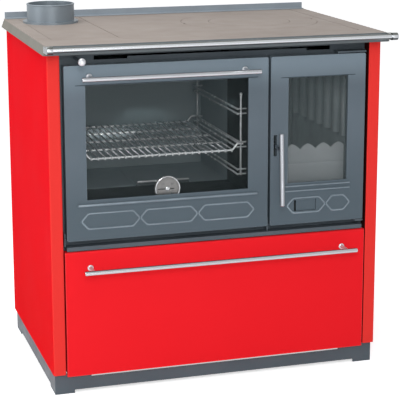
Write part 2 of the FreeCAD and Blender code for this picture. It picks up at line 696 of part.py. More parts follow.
def make_ladder(wall_x, side):
    # Welded wire: two uprights, and three pairs of runners on pegs that cross the uprights to the oven wall.
    wire = size.ladder_wire
    x = wall_x - size.ladder_standoff * side
    post_x = x + size.ladder_post_offset * side
    ends = (front + size.ladder_front, oven_back - size.ladder_back_gap)
    rise = (oven_bottom + size.ladder_low_gap, oven_top - size.ladder_top_gap)
    wires = [cylinder("ladder_upright", "Z", (post_x, y), rise, wire) for y in ends]
    peg_x = (x, wall_x) if side > 0 else (wall_x, x)
    for share in runner_height_shares:
        low = oven_bottom + oven_height * share
        for z in (low, low + size.runner_pair):
            wires.append(cylinder("ladder_runner", "Y", (x, z), grow(ends, size.runner_overhang), wire))
            wires += [cylinder("ladder_peg_wire", "X", (y, z), peg_x, size.ladder_peg) for y in ends]
    return fuse("rack_ladder", *wires)


def ball(name, x, y, z, radius):
    piece = doc.addObject("Part::Sphere", name)
    bind(piece, "Radius", radius)
    return place(piece, x, y, z)


def make_rack():
    node("rack_ladders", group("rack_ladders", make_ladder(oven_left, -1), make_ladder(oven_right, 1)))
    # The rack's side rails lie on the upper wires of the middle runners, and its grid hangs a little lower.
    wire = size.rack_wire
    runner_z = oven_bottom + oven_height * runner_height_shares[1] + size.runner_pair
    rail_z = runner_z + size.ladder_wire + wire + size.fit_gap
    grid_z = rail_z - size.rack_drop
    bar_z = grid_z - size.rack_bar_drop
    rail_half = oven_width / 2 - size.ladder_standoff - size.rack_rail_offset
    y = (front + size.rack_front, oven_back - size.rack_back_gap)
    grid_x = grow(oven_mouth_x, -size.rack_side_gap)
    bar_x = grow(grid_x, size.rack_riser_gap)
    wires = []
    for index in range(rack_wires):
        x = grid_x[0] + (grid_x[1] - grid_x[0]) * (index / (rack_wires - 1))
        wires.append(cylinder("rack_long_wire", "Y", (x, grid_z), grow(y, size.rack_overhang), wire))
    for index in range(rack_cross_bars):
        bar_y = y[0] + (y[1] - y[0]) * (index / (rack_cross_bars - 1))
        wires.append(cylinder("rack_cross_bar", "X", (bar_y, bar_z), bar_x, size.rack_bar))
    for side, edge in ((-1, bar_x[0]), (1, bar_x[1])):
        rail_x = oven_middle + rail_half * side
        wires.append(cylinder("rack_side_rail", "Y", (rail_x, rail_z), grow(y, size.rack_overhang), wire))
        for bar_y in y:
            wires.append(cylinder("rack_riser_wire", "Z", (edge, bar_y), (bar_z, rail_z), size.rack_riser))
            wires.append(ball("rack_elbow", edge, bar_y, bar_z, size.rack_low_elbow))
            wires.append(ball("rack_elbow", edge, bar_y, rail_z, size.rack_high_elbow))
            span = (rail_x, edge) if side < 0 else (edge, rail_x)
            wires.append(cylinder("rack_wing_wire", "X", (bar_y, rail_z), span, size.rack_wing))
    node("oven_rack", fuse("oven_rack", *wires))


def make_damper():
    # The rod runs through the front frame and the baffle, and its plate, pulled out, shuts the baffle's window.
    wall = size.sheet_wall
    y = (flue_y - size.baffle_flue_gap, flue_y - size.baffle_flue_gap + wall)
    baffle_right = seat_seam - size.baffle_seam_gap
    window_x = (damper_x + size.damper_window_gap, baffle_right - size.damper_window_end)
    window_z = (oven_roof + size.damper_window_rise, hob_under - size.damper_window_drop)
    piece = body("damper_baffle")
    outline = rectangle((-inner + size.baffle_left_gap, baffle_right), (oven_roof, hob_under))
    bore = circle(damper_x, damper_level, rod_bore)
    pad(piece, "XZ", [outline, rectangle(window_x, window_z), bore], y[0], y[1])
    node("damper_baffle", piece)
    spot = (damper_x, damper_level)
    plate_front = y[1] + size.damper_stroke_space
    plate_x = (damper_x - size.damper_lap, window_x[1] + size.damper_lap)
    rod_y = (front - size.knob_reach, plate_front + wall)
    rod = cylinder("damper_rod_bar", "Y", spot, rod_y, size.damper_rod_radius)
    plate = box("damper_plate", plate_x, (plate_front, plate_front + wall), grow(window_z, size.damper_lap / 2))
    node("damper_rod", fuse("damper_rod", rod, plate))
    knob = ball("damper_ball", damper_x, front - size.knob_reach, damper_level, size.knob_radius)
    socket = cylinder("knob_socket", "Y", spot, (front - size.knob_reach, front), rod_bore)
    node("damper_knob", cut("damper_knob", knob, socket))


def make_firebox():
    y = (frame_back, lining_back)
    x = (lining_left, lining_right)
    wall = size.sheet_wall
    ash = body("ash_box")
    ash_under = ash_floor - wall
    pad(ash, "XZ", [[
        (x[0], hearth_top), (x[0] + wall, hearth_top), (x[0] + wall, ash_under), (x[1] - wall, ash_under),
        (x[1] - wall, hearth_top), (x[1], hearth_top), (x[1], fire_floor), (x[1] - wall, fire_floor),
        (x[1] - wall, ash_floor), (x[0] + wall, ash_floor), (x[0] + wall, fire_floor),
        (x[0], fire_floor),
    ]], y[0], firebox_back)
    pad(ash, "XZ", [rectangle(x, (hearth_top, fire_floor))], firebox_back, firebox_back + wall)
    node("ash_box", ash)

    middle = (firebox_left + firebox_right) / 2
    grate_x = around(middle, size.grate_width)
    grate_y = (front + size.grate_front, firebox_back - size.grate_back_gap)
    seat = fire_floor_top - size.grate_thick
    floor = body("firebox_floor")
    opening = rectangle(grow(grate_x, -size.grate_ledge), grow(grate_y, -size.grate_ledge))
    pad(floor, "XY", [rectangle(x, y), opening], fire_floor, fire_floor_top)
    pocket(floor, "XY", [rectangle(grate_x, grate_y)], seat, fire_floor_top + size.cut_overrun)
    node("firebox_floor", floor)

    grate = body("fire_grate")
    slots = []
    for index in range(grate_slots):
        slot_x = middle + size.grate_pitch * (index - (grate_slots - 1) / 2)
        slots.append(rectangle(around(slot_x, size.grate_slot), grow(grate_y, -size.grate_slot_inset)))
    grate_loop = rectangle(grow(grate_x, -size.fit_gap), grow(grate_y, -size.fit_gap))
    pad(grate, "XY", [grate_loop] + slots, seat, fire_floor_top)
    node("fire_grate", grate)

    lining_y = (frame_back + size.lining_front_gap, lining_back)
    lining_z = (fire_floor_top, oven_top)
    node("left_firebox_plate", box("left_firebox_plate", (x[0], firebox_left), lining_y, lining_z))
    node("rear_firebox_plate", box("rear_firebox_plate", (firebox_left, firebox_right),
                                   (firebox_back, lining_back), lining_z))
    slab = box("right_lining_slab", (firebox_right, x[1]), lining_y, lining_z)
    first_rib = front + size.rib_first
    pitch = (firebox_back - size.rib_end_gap - first_rib) / (rib_count - 1)
    ribs = [cylinder("lining_rib", "Z", (firebox_right, first_rib + pitch * index),
                     (guard_top + size.rib_rise, oven_top), size.rib_radius) for index in range(rib_count)]
    sliced = cut("lining_ribs", fuse("lining_whole", slab, *ribs),
                 box("lining_trim", (x[1], x[1] + size.rib_radius), lining_y, lining_z))
    node("right_firebox_plate", sliced)

    guard = body("log_guard")
    guard_y = (front + size.guard_front, front + size.guard_front + size.guard_wall)
    guard_x = (firebox_left + size.guard_left_gap, firebox_right - size.guard_right_gap)
    first_dip = guard_x[0] + size.wave_first_gap
    dip_pitch = (guard_x[1] - size.wave_end_gap - first_dip) / (guard_dips - 1)
    outline = [(guard_x[1], guard_top), (guard_x[1], fire_floor_top), (guard_x[0], fire_floor_top),
               (guard_x[0], guard_top)]
    for index in range(guard_dips):
        dip = first_dip + dip_pitch * index
        outline += [(dip - size.wave_half, guard_top), (dip, guard_top - size.wave_depth),
                    (dip + size.wave_half, guard_top)]
    pad(guard, "XZ", [outline], guard_y[0], guard_y[1])
    node("log_guard", guard)

    pan = body("ash_pan")
    gap = wall + size.ash_pan_gap
    pan_x = grow(x, -gap)
    pan_y = (front + size.ash_pan_front, firebox_back - size.ash_pan_gap)
    pan_top = fire_floor - size.ash_pan_head
    pad(pan, "XY", [rectangle(pan_x, pan_y)], ash_floor, pan_top)
    pocket(pan, "XY", [rectangle(grow(pan_x, -wall), grow(pan_y, -wall))], ash_floor + wall,
           pan_top + size.cut_overrun)
    tab_top = pan_top - size.ash_tab_drop
    tab = rectangle(around(fire_middle, size.ash_tab_width), (pan_y[0] - size.ash_tab_reach, pan_y[0]))
    pad(pan, "XY", [tab], tab_top - size.ash_tab_thick, tab_top)
    node("ash_pan", pan)


def door_shell(name, x, window_x, window_z):
    # A cast door: a skin with its window and a rim that turns back all round.
    z = (door_bottom, door_top)
    piece = body(name)
    pad(piece, "XZ", [rectangle(x, z)], front, door_back)
    round_edges(piece, "Y", [(x[i], z[k]) for i in (0, 1) for k in (0, 1)], size.door_corner)
    hollow = rectangle(grow(x, -size.door_rim), grow(z, -size.door_rim))
    pocket(piece, "XZ", [hollow], skin_back, door_back + size.cut_overrun)
    pocket(piece, "XZ", [rectangle(window_x, window_z)], front - size.cut_overrun, skin_back + size.cut_overrun)
    return piece


def hexagon(middle, length):
    # Ridge of a hexagon: an outer and an inner outline, pointed at the left and the right.
    low = door_bottom + size.hexagon_rise
    high = low + size.hexagon_height
    mid = low + size.hexagon_height / 2
    width = size.ridge_width
    reach = length / 2 + width / 2
    inset = reach - width * mitre_share
    slant = width * ridge_slant_share

    def outline(tip, shoulder, bottom, top):
        return [(middle - tip, mid), (middle - shoulder, bottom), (middle + shoulder, bottom),
                (middle + tip, mid), (middle + shoulder, top), (middle - shoulder, top)]

    shoulder = reach - size.hexagon_slope
    return [outline(reach, shoulder, low, high), outline(inset, shoulder - slant, low + width, high - width)]


def raise_ridges(piece, loops, reach):
    pad(piece, "XZ", loops, front - reach, front)


def clip_body(x_edge, side, z):
    # A bent clip: its base lies on the door skin and its tongue holds the glass.
    wall = size.sheet_wall
    glass_back = skin_back + size.glass_thick
    foot = x_edge - (size.clip_base + size.fit_gap) * side
    near = x_edge - size.fit_gap * side
    tip = x_edge + size.clip_tongue * side
    piece = body("glass_clip")
    pad(piece, "XY", [[
        (foot, skin_back), (near, skin_back), (near, glass_back), (tip, glass_back), (tip, glass_back + wall),
        (near - wall * side, glass_back + wall), (near - wall * side, skin_back + wall),
        (foot, skin_back + wall),
    ]], z, z + size.clip_height)
    return piece


def make_glazing(prefix, door_x, window_x, window_z, mouth_x, mouth_z, liner_loops):
    glass_x = grow(window_x, size.glass_lap)
    glass_z = grow(window_z, size.glass_lap)
    pane = body(prefix + "_door_glass")
    pad(pane, "XZ", [rectangle(glass_x, glass_z)], skin_back, skin_back + size.glass_thick)
    node(prefix + "_door_glass", pane)
    heights = (glass_z[0] + size.clip_inset, glass_z[1] - size.clip_inset - size.clip_height)
    clips = [clip_body(edge, side, z) for edge, side in ((glass_x[0], 1), (glass_x[1], -1)) for z in heights]
    node(prefix + "_glass_clips", group(prefix + "_glass_clips", *clips))
    liner = body(prefix + "_door_liner")
    liner_loop = rectangle(grow(door_x, -size.door_rim), grow((door_bottom, door_top), -size.door_rim))
    view = rectangle(grow(window_x, size.liner_window_extra), grow(window_z, size.liner_window_extra))
    pad(liner, "XZ", [liner_loop, view] + liner_loops, door_back - size.sheet_wall, door_back)
    node(prefix + "_door_liner", liner)
    seal = body(prefix + "_door_seal")
    seal_in = (grow(mouth_x, size.seal_margin), grow(mouth_z, size.seal_margin))
    seal_out = [grow(span, size.seal_width) for span in seal_in]
    pad(seal, "XZ", [rectangle(*seal_out), rectangle(*seal_in)], door_back, frame_front - size.fit_gap)
    node(prefix + "_door_seal", seal)


def make_oven_door():
    x = (door_left, oven_door_right)
    piece = door_shell("oven_door_frame", x, oven_window_x, oven_window_z)
    ledge_low = door_bottom + size.ledge_rise
    ledge = rectangle(grow(x, -size.ledge_margin), (ledge_low, ledge_low + size.ledge_height))
    raise_ridges(piece, [ledge], size.ledge_reach)
    pitch = (oven_door_half - size.hexagon_margin) * 2 / oven_hexagons
    for index in range(oven_hexagons):
        shift = index - (oven_hexagons - 1) / 2
        raise_ridges(piece, hexagon(oven_middle + pitch * shift, pitch), size.ridge_height)
    pin = circle(front + size.oven_hinge_back, door_bottom + size.oven_hinge_rise,
                 size.hinge_pin_radius + size.pin_play)
    pocket(piece, "YZ", [pin], door_left - size.cut_overrun, oven_door_right + size.cut_overrun)
    node("oven_door_frame", piece)
    make_glazing("oven", x, oven_window_x, oven_window_z, oven_mouth_x, oven_mouth_z, [])
    bar_half = oven_door_half - size.oven_bar_margin
    make_bar("oven_door_bar", "oven_bar_posts", oven_middle, bar_half, bar_half - size.oven_post_inset,
             door_top - size.oven_bar_drop)


def make_bar(bar_label, post_label, middle, bar_half, post_half, z):
    # A round bar on two posts, which sit in flat-bottomed holes of the bar.
    y = front - size.bar_reach
    bar = cylinder(bar_label + "_rod", "X", (y, z), (middle - bar_half, middle + bar_half), size.bar_radius)
    spots = [(middle + post_half * side, z) for side in (-1, 1)]
    sockets = [cylinder("post_socket", "Y", spot, (y, front), size.post_radius + size.pin_play)
               for spot in spots]
    node(bar_label, cut(bar_label, bar, *sockets))
    posts = [cylinder("bar_post", "Y", spot, (y, front), size.post_radius) for spot in spots]
    node(post_label, group(post_label, *posts))


def make_thermometer():
    x = oven_middle
    z = oven_window_z[0] + size.dial_rise
    face = front + size.dial_front
    rear = face + size.dial_depth
    drum = cylinder("dial_drum", "Y", (x, z), (face, rear), size.dial_radius)
    dial = face + size.bezel_depth
    recess = cylinder("dial_recess", "Y", (x, z), (face - size.cut_overrun, dial),
                      size.dial_radius - size.bezel_width)
    strap_x = around(x, size.dial_strap_width)
    strap_low = z - size.dial_strap_drop
    strap = box("dial_strap", strap_x, (rear, rear + size.dial_strap_thick), (strap_low, z))
    foot = box("dial_foot", strap_x, (skin_back, rear), (strap_low, strap_low + size.dial_strap_thick))
    node("thermometer_case", fuse("thermometer_case", cut("dial_case", drum, recess), strap, foot))
    needle_y = (dial - size.needle_gap - size.needle_thick, dial - size.needle_gap)
    hub = cylinder("needle_hub_disc", "Y", (x, z), needle_y, size.needle_hub)
    blade_x = (x - size.needle_length, x + size.needle_tail)
    blade = box("needle_blade", blade_x, needle_y, around(z, size.needle_width))
    node("thermometer_needle", fuse("thermometer_needle", hub, blade))


def make_fire_door():
    x = (fire_left, door_right)
    piece = door_shell("fire_door_frame", x, fire_window_x, fire_window_z)
    for step in (0, 1):
        low = door_bottom + size.ledge_rise + size.ledge_step * step
        ledge_x = grow(x, -size.fire_ledge_margin)
        raise_ridges(piece, [rectangle(ledge_x, (low, low + size.ledge_height / 2))], size.ledge_reach)
    start = fire_left + size.fire_hexagon_start
    chain = door_right - size.fire_hexagon_end - start
    long = chain * long_hexagon_share
    spans = ((start, long), (start + long, chain - long))
    for low, length in spans:
        raise_ridges(piece, hexagon(low + length / 2, length), size.ridge_height)
    slot = rectangle(around(lever_x, size.lever_slot_width), around(lever_level, size.lever_slot_height))
    window_x = (fire_left + size.slider_start, fire_left + size.slider_start + size.slider_window_width)
    slider_low = door_bottom + size.slider_rise
    window_z = (slider_low, slider_low + size.slider_window_height)
    pocket(piece, "XZ", [slot, rectangle(window_x, window_z)], front - size.cut_overrun, skin_back)
    pin = circle(door_right - size.fire_hinge_inset, front + size.fire_hinge_back,
                 size.hinge_pin_radius + size.pin_play)
    pocket(piece, "XY", [pin], door_bottom - size.cut_overrun, door_top + size.cut_overrun)
    flange_z = grow(window_z, size.slider_flange)
    guide_x = around((window_x[0] + window_x[1]) / 2, size.slider_guide_width)
    lip_front = skin_back + size.slider_flange_thick + size.fit_gap * 2
    lip_back = lip_front + size.slider_guide_lip
    outer = grow(flange_z, size.fit_gap + size.slider_guide)
    for rest, lip in (((outer[0], flange_z[0] - size.fit_gap), (outer[0], flange_z[0] + size.fit_gap * 2)),
                      ((flange_z[1] + size.fit_gap, outer[1]), (flange_z[1] - size.fit_gap * 2, outer[1]))):
        pad(piece, "XZ", [rectangle(guide_x, rest)], skin_back, lip_front)
        pad(piece, "XZ", [rectangle(guide_x, lip)], lip_front, lip_back)
    node("fire_door_frame", piece)
    hook_slot = rectangle(around(lever_x, size.lever_slot_width), around(lever_level, size.lever_slot_height))
    make_glazing("fire", x, fire_window_x, fire_window_z, fire_mouth_x, fire_mouth_z, [hook_slot])
    slider_x = (window_x[0] + size.slider_open, window_x[1] - size.fit_gap)
    face = box("slider_face", slider_x, (front + size.slider_sink, skin_back + size.fit_gap),
               grow(window_z, -size.fit_gap))
    flange = box("slider_flange_plate", slider_x,
                 (skin_back + size.fit_gap, skin_back + size.fit_gap + size.slider_flange_thick), flange_z)
    node("air_slider", fuse("air_slider", face, flange))


def make_latch():
    pivot_y = front + size.lever_pivot_back
    pivot = (pivot_y, lever_level)
    thick = around(lever_x, size.lever_thick)
    stem_z = around(lever_level, size.lever_stem_height)
    bar_face = front - size.lever_stem_reach
    hook_back = front + size.hook_reach
    arm_z = (lever_level - size.hook_drop, stem_z[1])
    stem = box("lever_stem", thick, (bar_face, pivot_y), stem_z)
    arm = box("lever_arm", thick, (pivot_y, hook_back), arm_z)
    nose = box("lever_nose", thick, (hook_back - size.hook_nose, hook_back),
               (lever_level, lever_level + size.hook_rise))
    boss = cylinder("lever_boss_disc", "X", pivot, thick, size.lever_boss)
    bore = cylinder("lever_bore", "X", pivot, grow(thick, size.cut_overrun),
                    size.lever_pin_radius + size.pin_play)
    node("fire_door_lever", cut("fire_door_lever", fuse("lever_whole", stem, arm, nose, boss), bore))

    # The bar leans out a little towards its lower end, and the stem sits in a flat-bottomed slot of it.
    bar = doc.addObject("Part::Cylinder", "fire_bar_rod")
    bind(bar, "Radius", size.bar_radius)
    bind(bar, "Height", size.fire_bar_length)
    lean = FreeCAD.Rotation(FreeCAD.Vector(1, 0, 0), 180 - size.fire_bar_lean.number)
    bar.Placement = FreeCAD.Placement(FreeCAD.Vector(), lean)
    place(bar, lever_x, front - size.fire_bar_top_reach, lever_level + size.fire_bar_rise)
    slot = box("fire_bar_slot", grow(thick, size.pin_play), (bar_face, front), grow(stem_z, size.pin_play))
    node("fire_door_bar", cut("fire_door_bar", bar, slot))

    plate_x = grow(thick, size.latch_ear_gap + size.latch_ear)
    base_y = (skin_back, skin_back + size.latch_base_thick)
    base = box("latch_base", plate_x, base_y, around(lever_level, size.latch_base_height))
    gap_x = grow(thick, size.latch_ear_gap)
    opening = box("latch_opening", gap_x, grow(base_y, size.cut_overrun),
                  around(lever_level, size.lever_slot_height))
    ear_y = (base_y[1], base_y[1] + size.latch_ear_depth)
    ear_z = around(lever_level, size.latch_ear_height)
    ears = [box("latch_ear", span, ear_y, ear_z)
            for span in ((plate_x[0], gap_x[0]), (gap_x[1], plate_x[1]))]
    pin = cylinder("latch_pin", "X", pivot, plate_x, size.lever_pin_radius)
    node("latch_bracket", fuse("latch_bracket", cut("latch_base_cut", base, opening), *ears, pin))


def make_hinges():
    ear_low = door_bottom - size.hinge_ear_drop
    ear_z = (ear_low, ear_low + size.hinge_ear_height)
    foot_z = (ear_low, ear_low + size.hinge_foot_height)
    spot = (front + size.oven_hinge_back, door_bottom + size.oven_hinge_rise)
    brackets = []
    for side, edge in ((-1, door_left), (1, oven_door_right)):
        near = edge + size.hinge_side_gap * side
        far = near + size.hinge_ear * side
        tip = edge - (size.door_rim - size.pin_setback) * side
        inward = far - size.hinge_foot_width * side

        def span(a, b):
            return (a, b) if side > 0 else (b, a)

        ear = box("hinge_ear_plate", span(near, far), (front + size.hinge_ear_front, frame_front), ear_z)
        foot = box("hinge_foot", span(inward, far), (frame_front - size.hinge_foot_thick, frame_front), foot_z)
        pin = cylinder("hinge_pin", "X", spot, span(tip, far), size.hinge_pin_radius)
        brackets.append(fuse("oven_hinge_bracket", ear, foot, pin))
    node("oven_hinge_brackets", group("oven_hinge_brackets", *brackets))

    axis = (door_right - size.fire_hinge_inset, front + size.fire_hinge_back)
    tab_right = door_right + size.fire_tab_reach
    tab_y = (front + size.fire_tab_front, frame_front)
    low_z = (door_bottom - size.fire_tab_gap - size.fire_tab_thick, door_bottom - size.fire_tab_gap)
    high_z = (door_top + size.fire_tab_gap, door_top + size.fire_tab_gap + size.fire_tab_thick)
    depth = size.door_rim - size.pin_setback
    low_tab = box("fire_tab_low", (tab_right - size.fire_tab_low_width, tab_right), tab_y, low_z)
    low_pin = cylinder("fire_pin_low", "Z", axis, (low_z[0], door_bottom + depth), size.hinge_pin_radius)
    high_tab = box("fire_tab_high", (tab_right - size.fire_tab_high_width, tab_right), tab_y, high_z)
    high_pin = cylinder("fire_pin_high", "Z", axis, (door_top - depth, high_z[1]), size.hinge_pin_radius)
    node("fire_hinge_brackets", group("fire_hinge_brackets", fuse("fire_hinge_low", low_tab, low_pin),
                                      fuse("fire_hinge_high", high_tab, high_pin)))


def make_drawer():
    wall = size.sheet_wall
    edge = half - size.strip_width - size.drawer_gap
    x = (-edge, edge)
    z = (drawer_bottom, drawer_top)
    piece = body("drawer_front")
    pad(piece, "XZ", [rectangle(x, z)], front, front + size.drawer_flange)
    round_edges(piece, "X", [(front, z[1])], size.drawer_round)
    hollow = rectangle(grow(x, -wall), grow(z, -wall))
    pocket(piece, "XZ", [hollow], front + wall, front + size.drawer_flange + size.cut_overrun)
    low = rectangle(grow(x, size.cut_overrun), (z[0] - size.cut_overrun, size.plinth_height + wall))
    pocket(piece, "XZ", [low], front + size.drawer_low_flange, front + size.drawer_flange + size.cut_overrun)
    node("drawer_front", piece)

    tray = body("drawer_tray")
    tray_half = half - size.tray_side_gap
    tray_x = (-tray_half, tray_half)
    tray_y = (front + wall, back - size.tray_back_gap + wall)
    tray_bottom = size.plinth_height + size.tray_rise
    tray_top = drawer_top - size.tray_head
    pad(tray, "XY", [rectangle(tray_x, tray_y)], tray_bottom, tray_top)
    pocket(tray, "XY", [rectangle(grow(tray_x, -wall), grow(tray_y, -wall))], tray_bottom + wall,
           tray_top + size.cut_overrun)
    slide_low = tray_bottom + (tray_top - tray_bottom) * slide_height_share
    slide_z = (slide_low, slide_low + size.slide_height)
    out = tray_half + size.slide_width
    for span in ((-out, tray_x[0]), (tray_x[1], out)):
        pad(tray, "XZ", [rectangle(span, slide_z)], front + size.slide_front, tray_y[1])
    node("drawer_tray", tray)

    runners = []
    low = slide_z[0] - size.fit_gap
    high = slide_z[1] + size.fit_gap
    tip = out - size.runner_reach
    for side in (-1, 1):
        outline = [
            (inner, low - wall), (tip, low - wall), (tip, low), (inner - wall, low), (inner - wall, high),
            (tip, high), (tip, high + wall), (inner, high + wall),
        ]
        runner = body("drawer_runner")
        pad(runner, "XZ", [[(u * side, v) for u, v in outline]], front + size.runner_front,
            back - size.runner_back_gap + size.runner_front)
        runners.append(runner)
    node("drawer_runners", group("drawer_runners", *runners))
    bar_half = half - size.drawer_bar_margin
    make_bar("drawer_bar", "drawer_bar_posts", (x[0] + x[1]) / 2, bar_half, bar_half - size.drawer_post_inset,
             drawer_top - size.drawer_bar_drop)


make_plinth()
make_side_panel("left_side_panel", -1)
make_side_panel("right_side_panel", 1)
make_back()
make_front_frame()
make_hob_frame()
make_hob_plates()
make_ring_and_lid()
make_flue_collar()
make_upstand_and_rail()
make_oven()
make_rack()
make_damper()
make_firebox()
make_oven_door()
make_thermometer()
make_fire_door()
make_latch()
make_hinges()
make_drawer()
doc.recompute()

for thing in doc.Objects:
    if "Invalid" in thing.State or "Error" in thing.State:
        raise RuntimeError("failed object: %s %s" % (thing.Name, thing.State))
for piece in nodes:
    if piece.Shape.isNull() or not piece.Shape.isValid():
        raise RuntimeError("bad shape: %s" % piece.Label)

os.makedirs("parts", exist_ok=True)
for piece in nodes:
    piece.Shape.exportStep("parts/%s.step" % piece.Label)
    print(piece.Label, len(piece.Shape.Solids), round(piece.Shape.Volume))
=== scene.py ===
import json
import math

import bmesh
import bpy
import numpy as np
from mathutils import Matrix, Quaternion, Vector


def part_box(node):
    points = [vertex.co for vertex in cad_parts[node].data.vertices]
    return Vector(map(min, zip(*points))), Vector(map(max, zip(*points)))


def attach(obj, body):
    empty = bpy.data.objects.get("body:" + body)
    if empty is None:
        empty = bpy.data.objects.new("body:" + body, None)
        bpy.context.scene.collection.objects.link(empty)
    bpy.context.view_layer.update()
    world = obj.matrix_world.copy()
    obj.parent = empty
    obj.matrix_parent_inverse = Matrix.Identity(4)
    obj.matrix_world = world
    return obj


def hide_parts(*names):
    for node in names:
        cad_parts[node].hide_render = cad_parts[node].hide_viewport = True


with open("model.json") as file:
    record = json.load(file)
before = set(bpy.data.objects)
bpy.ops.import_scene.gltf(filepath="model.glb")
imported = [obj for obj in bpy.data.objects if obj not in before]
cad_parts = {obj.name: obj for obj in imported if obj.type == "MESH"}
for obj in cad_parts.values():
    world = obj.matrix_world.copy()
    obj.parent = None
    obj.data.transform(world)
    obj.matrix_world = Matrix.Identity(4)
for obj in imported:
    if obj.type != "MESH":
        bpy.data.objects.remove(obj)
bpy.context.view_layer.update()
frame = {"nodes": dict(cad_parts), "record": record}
scene = bpy.context.scene
scene.view_settings.view_transform = "Standard"
nodes = frame["nodes"]
print("frame loaded with", len(nodes), "nodes")

mm = 0.001
front = -235.5      # plane of the doors' faces, in millimetres


def tone(red, green, blue):
    # screen colour to the linear colour that a shader takes
    share = np.array((red, green, blue)) / 255
    linear = np.where(share <= 0.04045, share / 12.92, ((share + 0.055) / 1.055) ** 2.4)
    return (*linear.tolist(), 1.0)


def setInputs(tree, node, inputs):
    # an output is linked, and a number or colour is set on the node's own socket
    for key, value in inputs.items():
        if isinstance(value, bpy.types.NodeSocket):
            tree.links.new(value, node.inputs[key])
        else:
            node.inputs[key].default_value = value


def addNode(tree, kind, settings, inputs):
    # a new node with its settings and inputs
    node = tree.nodes.new(kind)
    for key, value in settings.items():
        setattr(node, key, value)
    setInputs(tree, node, inputs)
    return node


def compute(tree, operation, first, second, clamp=False):
    # one operation on two values
    settings = {"operation": operation, "use_clamp": clamp}
    return addNode(tree, "ShaderNodeMath", settings, {0: first, 1: second}).outputs[0]


def startFinish(name):
    # a new material, and the place on the piece that its patterns read
    material = bpy.data.materials.new(name)
    material.use_nodes = True
    tree = material.node_tree
    place = tree.nodes.new("ShaderNodeTexCoord").outputs["Object"]
    return material, tree, tree.nodes["Principled BSDF"], place


# camera as the photograph was taken: from the left, a little above the hob
camera = {"place": (-1.01225, -3.38765, 1.26375), "yaw": -17.007, "pitch": 12.193, "roll": -0.097,
          "lens": 128.39, "sensor": 36, "shift": (0.0, -0.1)}


def placeCamera():
    # the view's direction comes from yaw and pitch, and the roll turns the picture about it
    data = bpy.data.cameras.new("stoveCamera")
    data.lens, data.sensor_width = camera["lens"], camera["sensor"]
    data.shift_x, data.shift_y = camera["shift"]
    holder = bpy.data.objects.new("stoveCamera", data)
    scene.collection.objects.link(holder)
    yaw, pitch = math.radians(camera["yaw"]), math.radians(camera["pitch"])
    ahead = Vector((-math.sin(yaw) * math.cos(pitch), math.cos(yaw) * math.cos(pitch), -math.sin(pitch)))
    turn = ahead.to_track_quat("-Z", "Y") @ Quaternion((0, 0, 1), math.radians(camera["roll"]))
    holder.rotation_mode = "QUATERNION"
    holder.rotation_quaternion = turn
    holder.location = camera["place"]
    scene.camera = holder


# lamps are (name, place, target, width, power), beams are (name, place, target, cone, stretch, power)
studio = {
    "fill": 0.5, "fillTint": tone(250, 251, 253), "white": (1, 1, 1, 1),
    "lamps": [
        ("frontLamp", (-0.9, -3.3, 1.9), (0, 0, 0.5), 0.8, 35),
        ("lowLamp", (-0.3, -3.4, 0.7), (0, 0, 0.5), 1.2, 14),
        ("keyLamp", (-1.0, -1.9, 2.4), (0, 0, 0.6), 1.3, 7),
        ("leftLamp", (-2.7, -0.5, 1.4), (-0.4, 0, 0.45), 1.4, 18),
        ("topLamp", (-0.9, 0.1, 2.3), (-0.3, 0, 0.8), 1.2, 14),
    ],
    "beams": [      # narrow, through the oven window: on the rack's front, its right corner and its back
        ("rackFrontBeam", (-0.185, -0.75, 1.19), (-0.185, -0.136, 0.56), 2.6, 5.0, 58),
        ("rackCornerBeam", (0.03, -0.76, 1.32), (0.03, -0.124, 0.56), 2.4, 1.0, 75),
        ("rackBackBeam", (-0.22, -1.3, 0.994), (-0.17, 0.226, 0.534), 1.3, 4.4, 110),
    ],
    "beamBlend": 0.3, "beamSoft": 0.01,
    "floorTone": tone(246, 246, 247), "floorRough": 0.9, "floorGlow": 0.6, "floorSize": 14.0,
}


def hangLamp(name, kind, place, target, power):
    # a lamp that looks from its place to its target
    data = bpy.data.lights.new(name, kind)
    data.energy = power
    lamp = bpy.data.objects.new(name, data)
    lamp.location = place
    lamp.rotation_euler = (Vector(target) - Vector(place)).to_track_quat("-Z", "Y").to_euler()
    lamp.visible_camera = False
    scene.collection.objects.link(lamp)
    return lamp


def seenRay(tree):
    # 1 for rays that show the background: to the camera, in gloss and through glass
    path = tree.nodes.new("ShaderNodeLightPath").outputs
    first = compute(tree, "MAXIMUM", path["Is Camera Ray"], path["Is Glossy Ray"])
    return compute(tree, "MAXIMUM", first, path["Is Transmission Ray"])


def lightStudio():
    # round soft lamps, beams with an oval cone, and a world that fills softly and is seen as white
    for name, place, target, width, power in studio["lamps"]:
        data = hangLamp(name, "AREA", place, target, power).data
        data.shape, data.size = "DISK", width
    for name, place, target, cone, stretch, power in studio["beams"]:
        lamp = hangLamp(name, "SPOT", place, target, power)
        lamp.scale = (stretch, 1, 1)
        lamp.data.spot_size, lamp.data.spot_blend = math.radians(cone), studio["beamBlend"]
        lamp.data.shadow_soft_size = studio["beamSoft"]
    world = bpy.data.worlds.new("studioWorld")
    scene.world = world
    world.use_nodes = True
    tree = world.node_tree
    plain = tree.nodes["Background"]
    setInputs(tree, plain, {"Color": studio["fillTint"], "Strength": studio["fill"]})
    white = addNode(tree, "ShaderNodeBackground", {}, {"Color": studio["white"], "Strength": 1.0})
    mixed = addNode(tree, "ShaderNodeMixShader", {},
                    {0: seenRay(tree), 1: plain.outputs[0], 2: white.outputs[0]})
    setInputs(tree, tree.nodes["World Output"], {"Surface": mixed.outputs[0]})


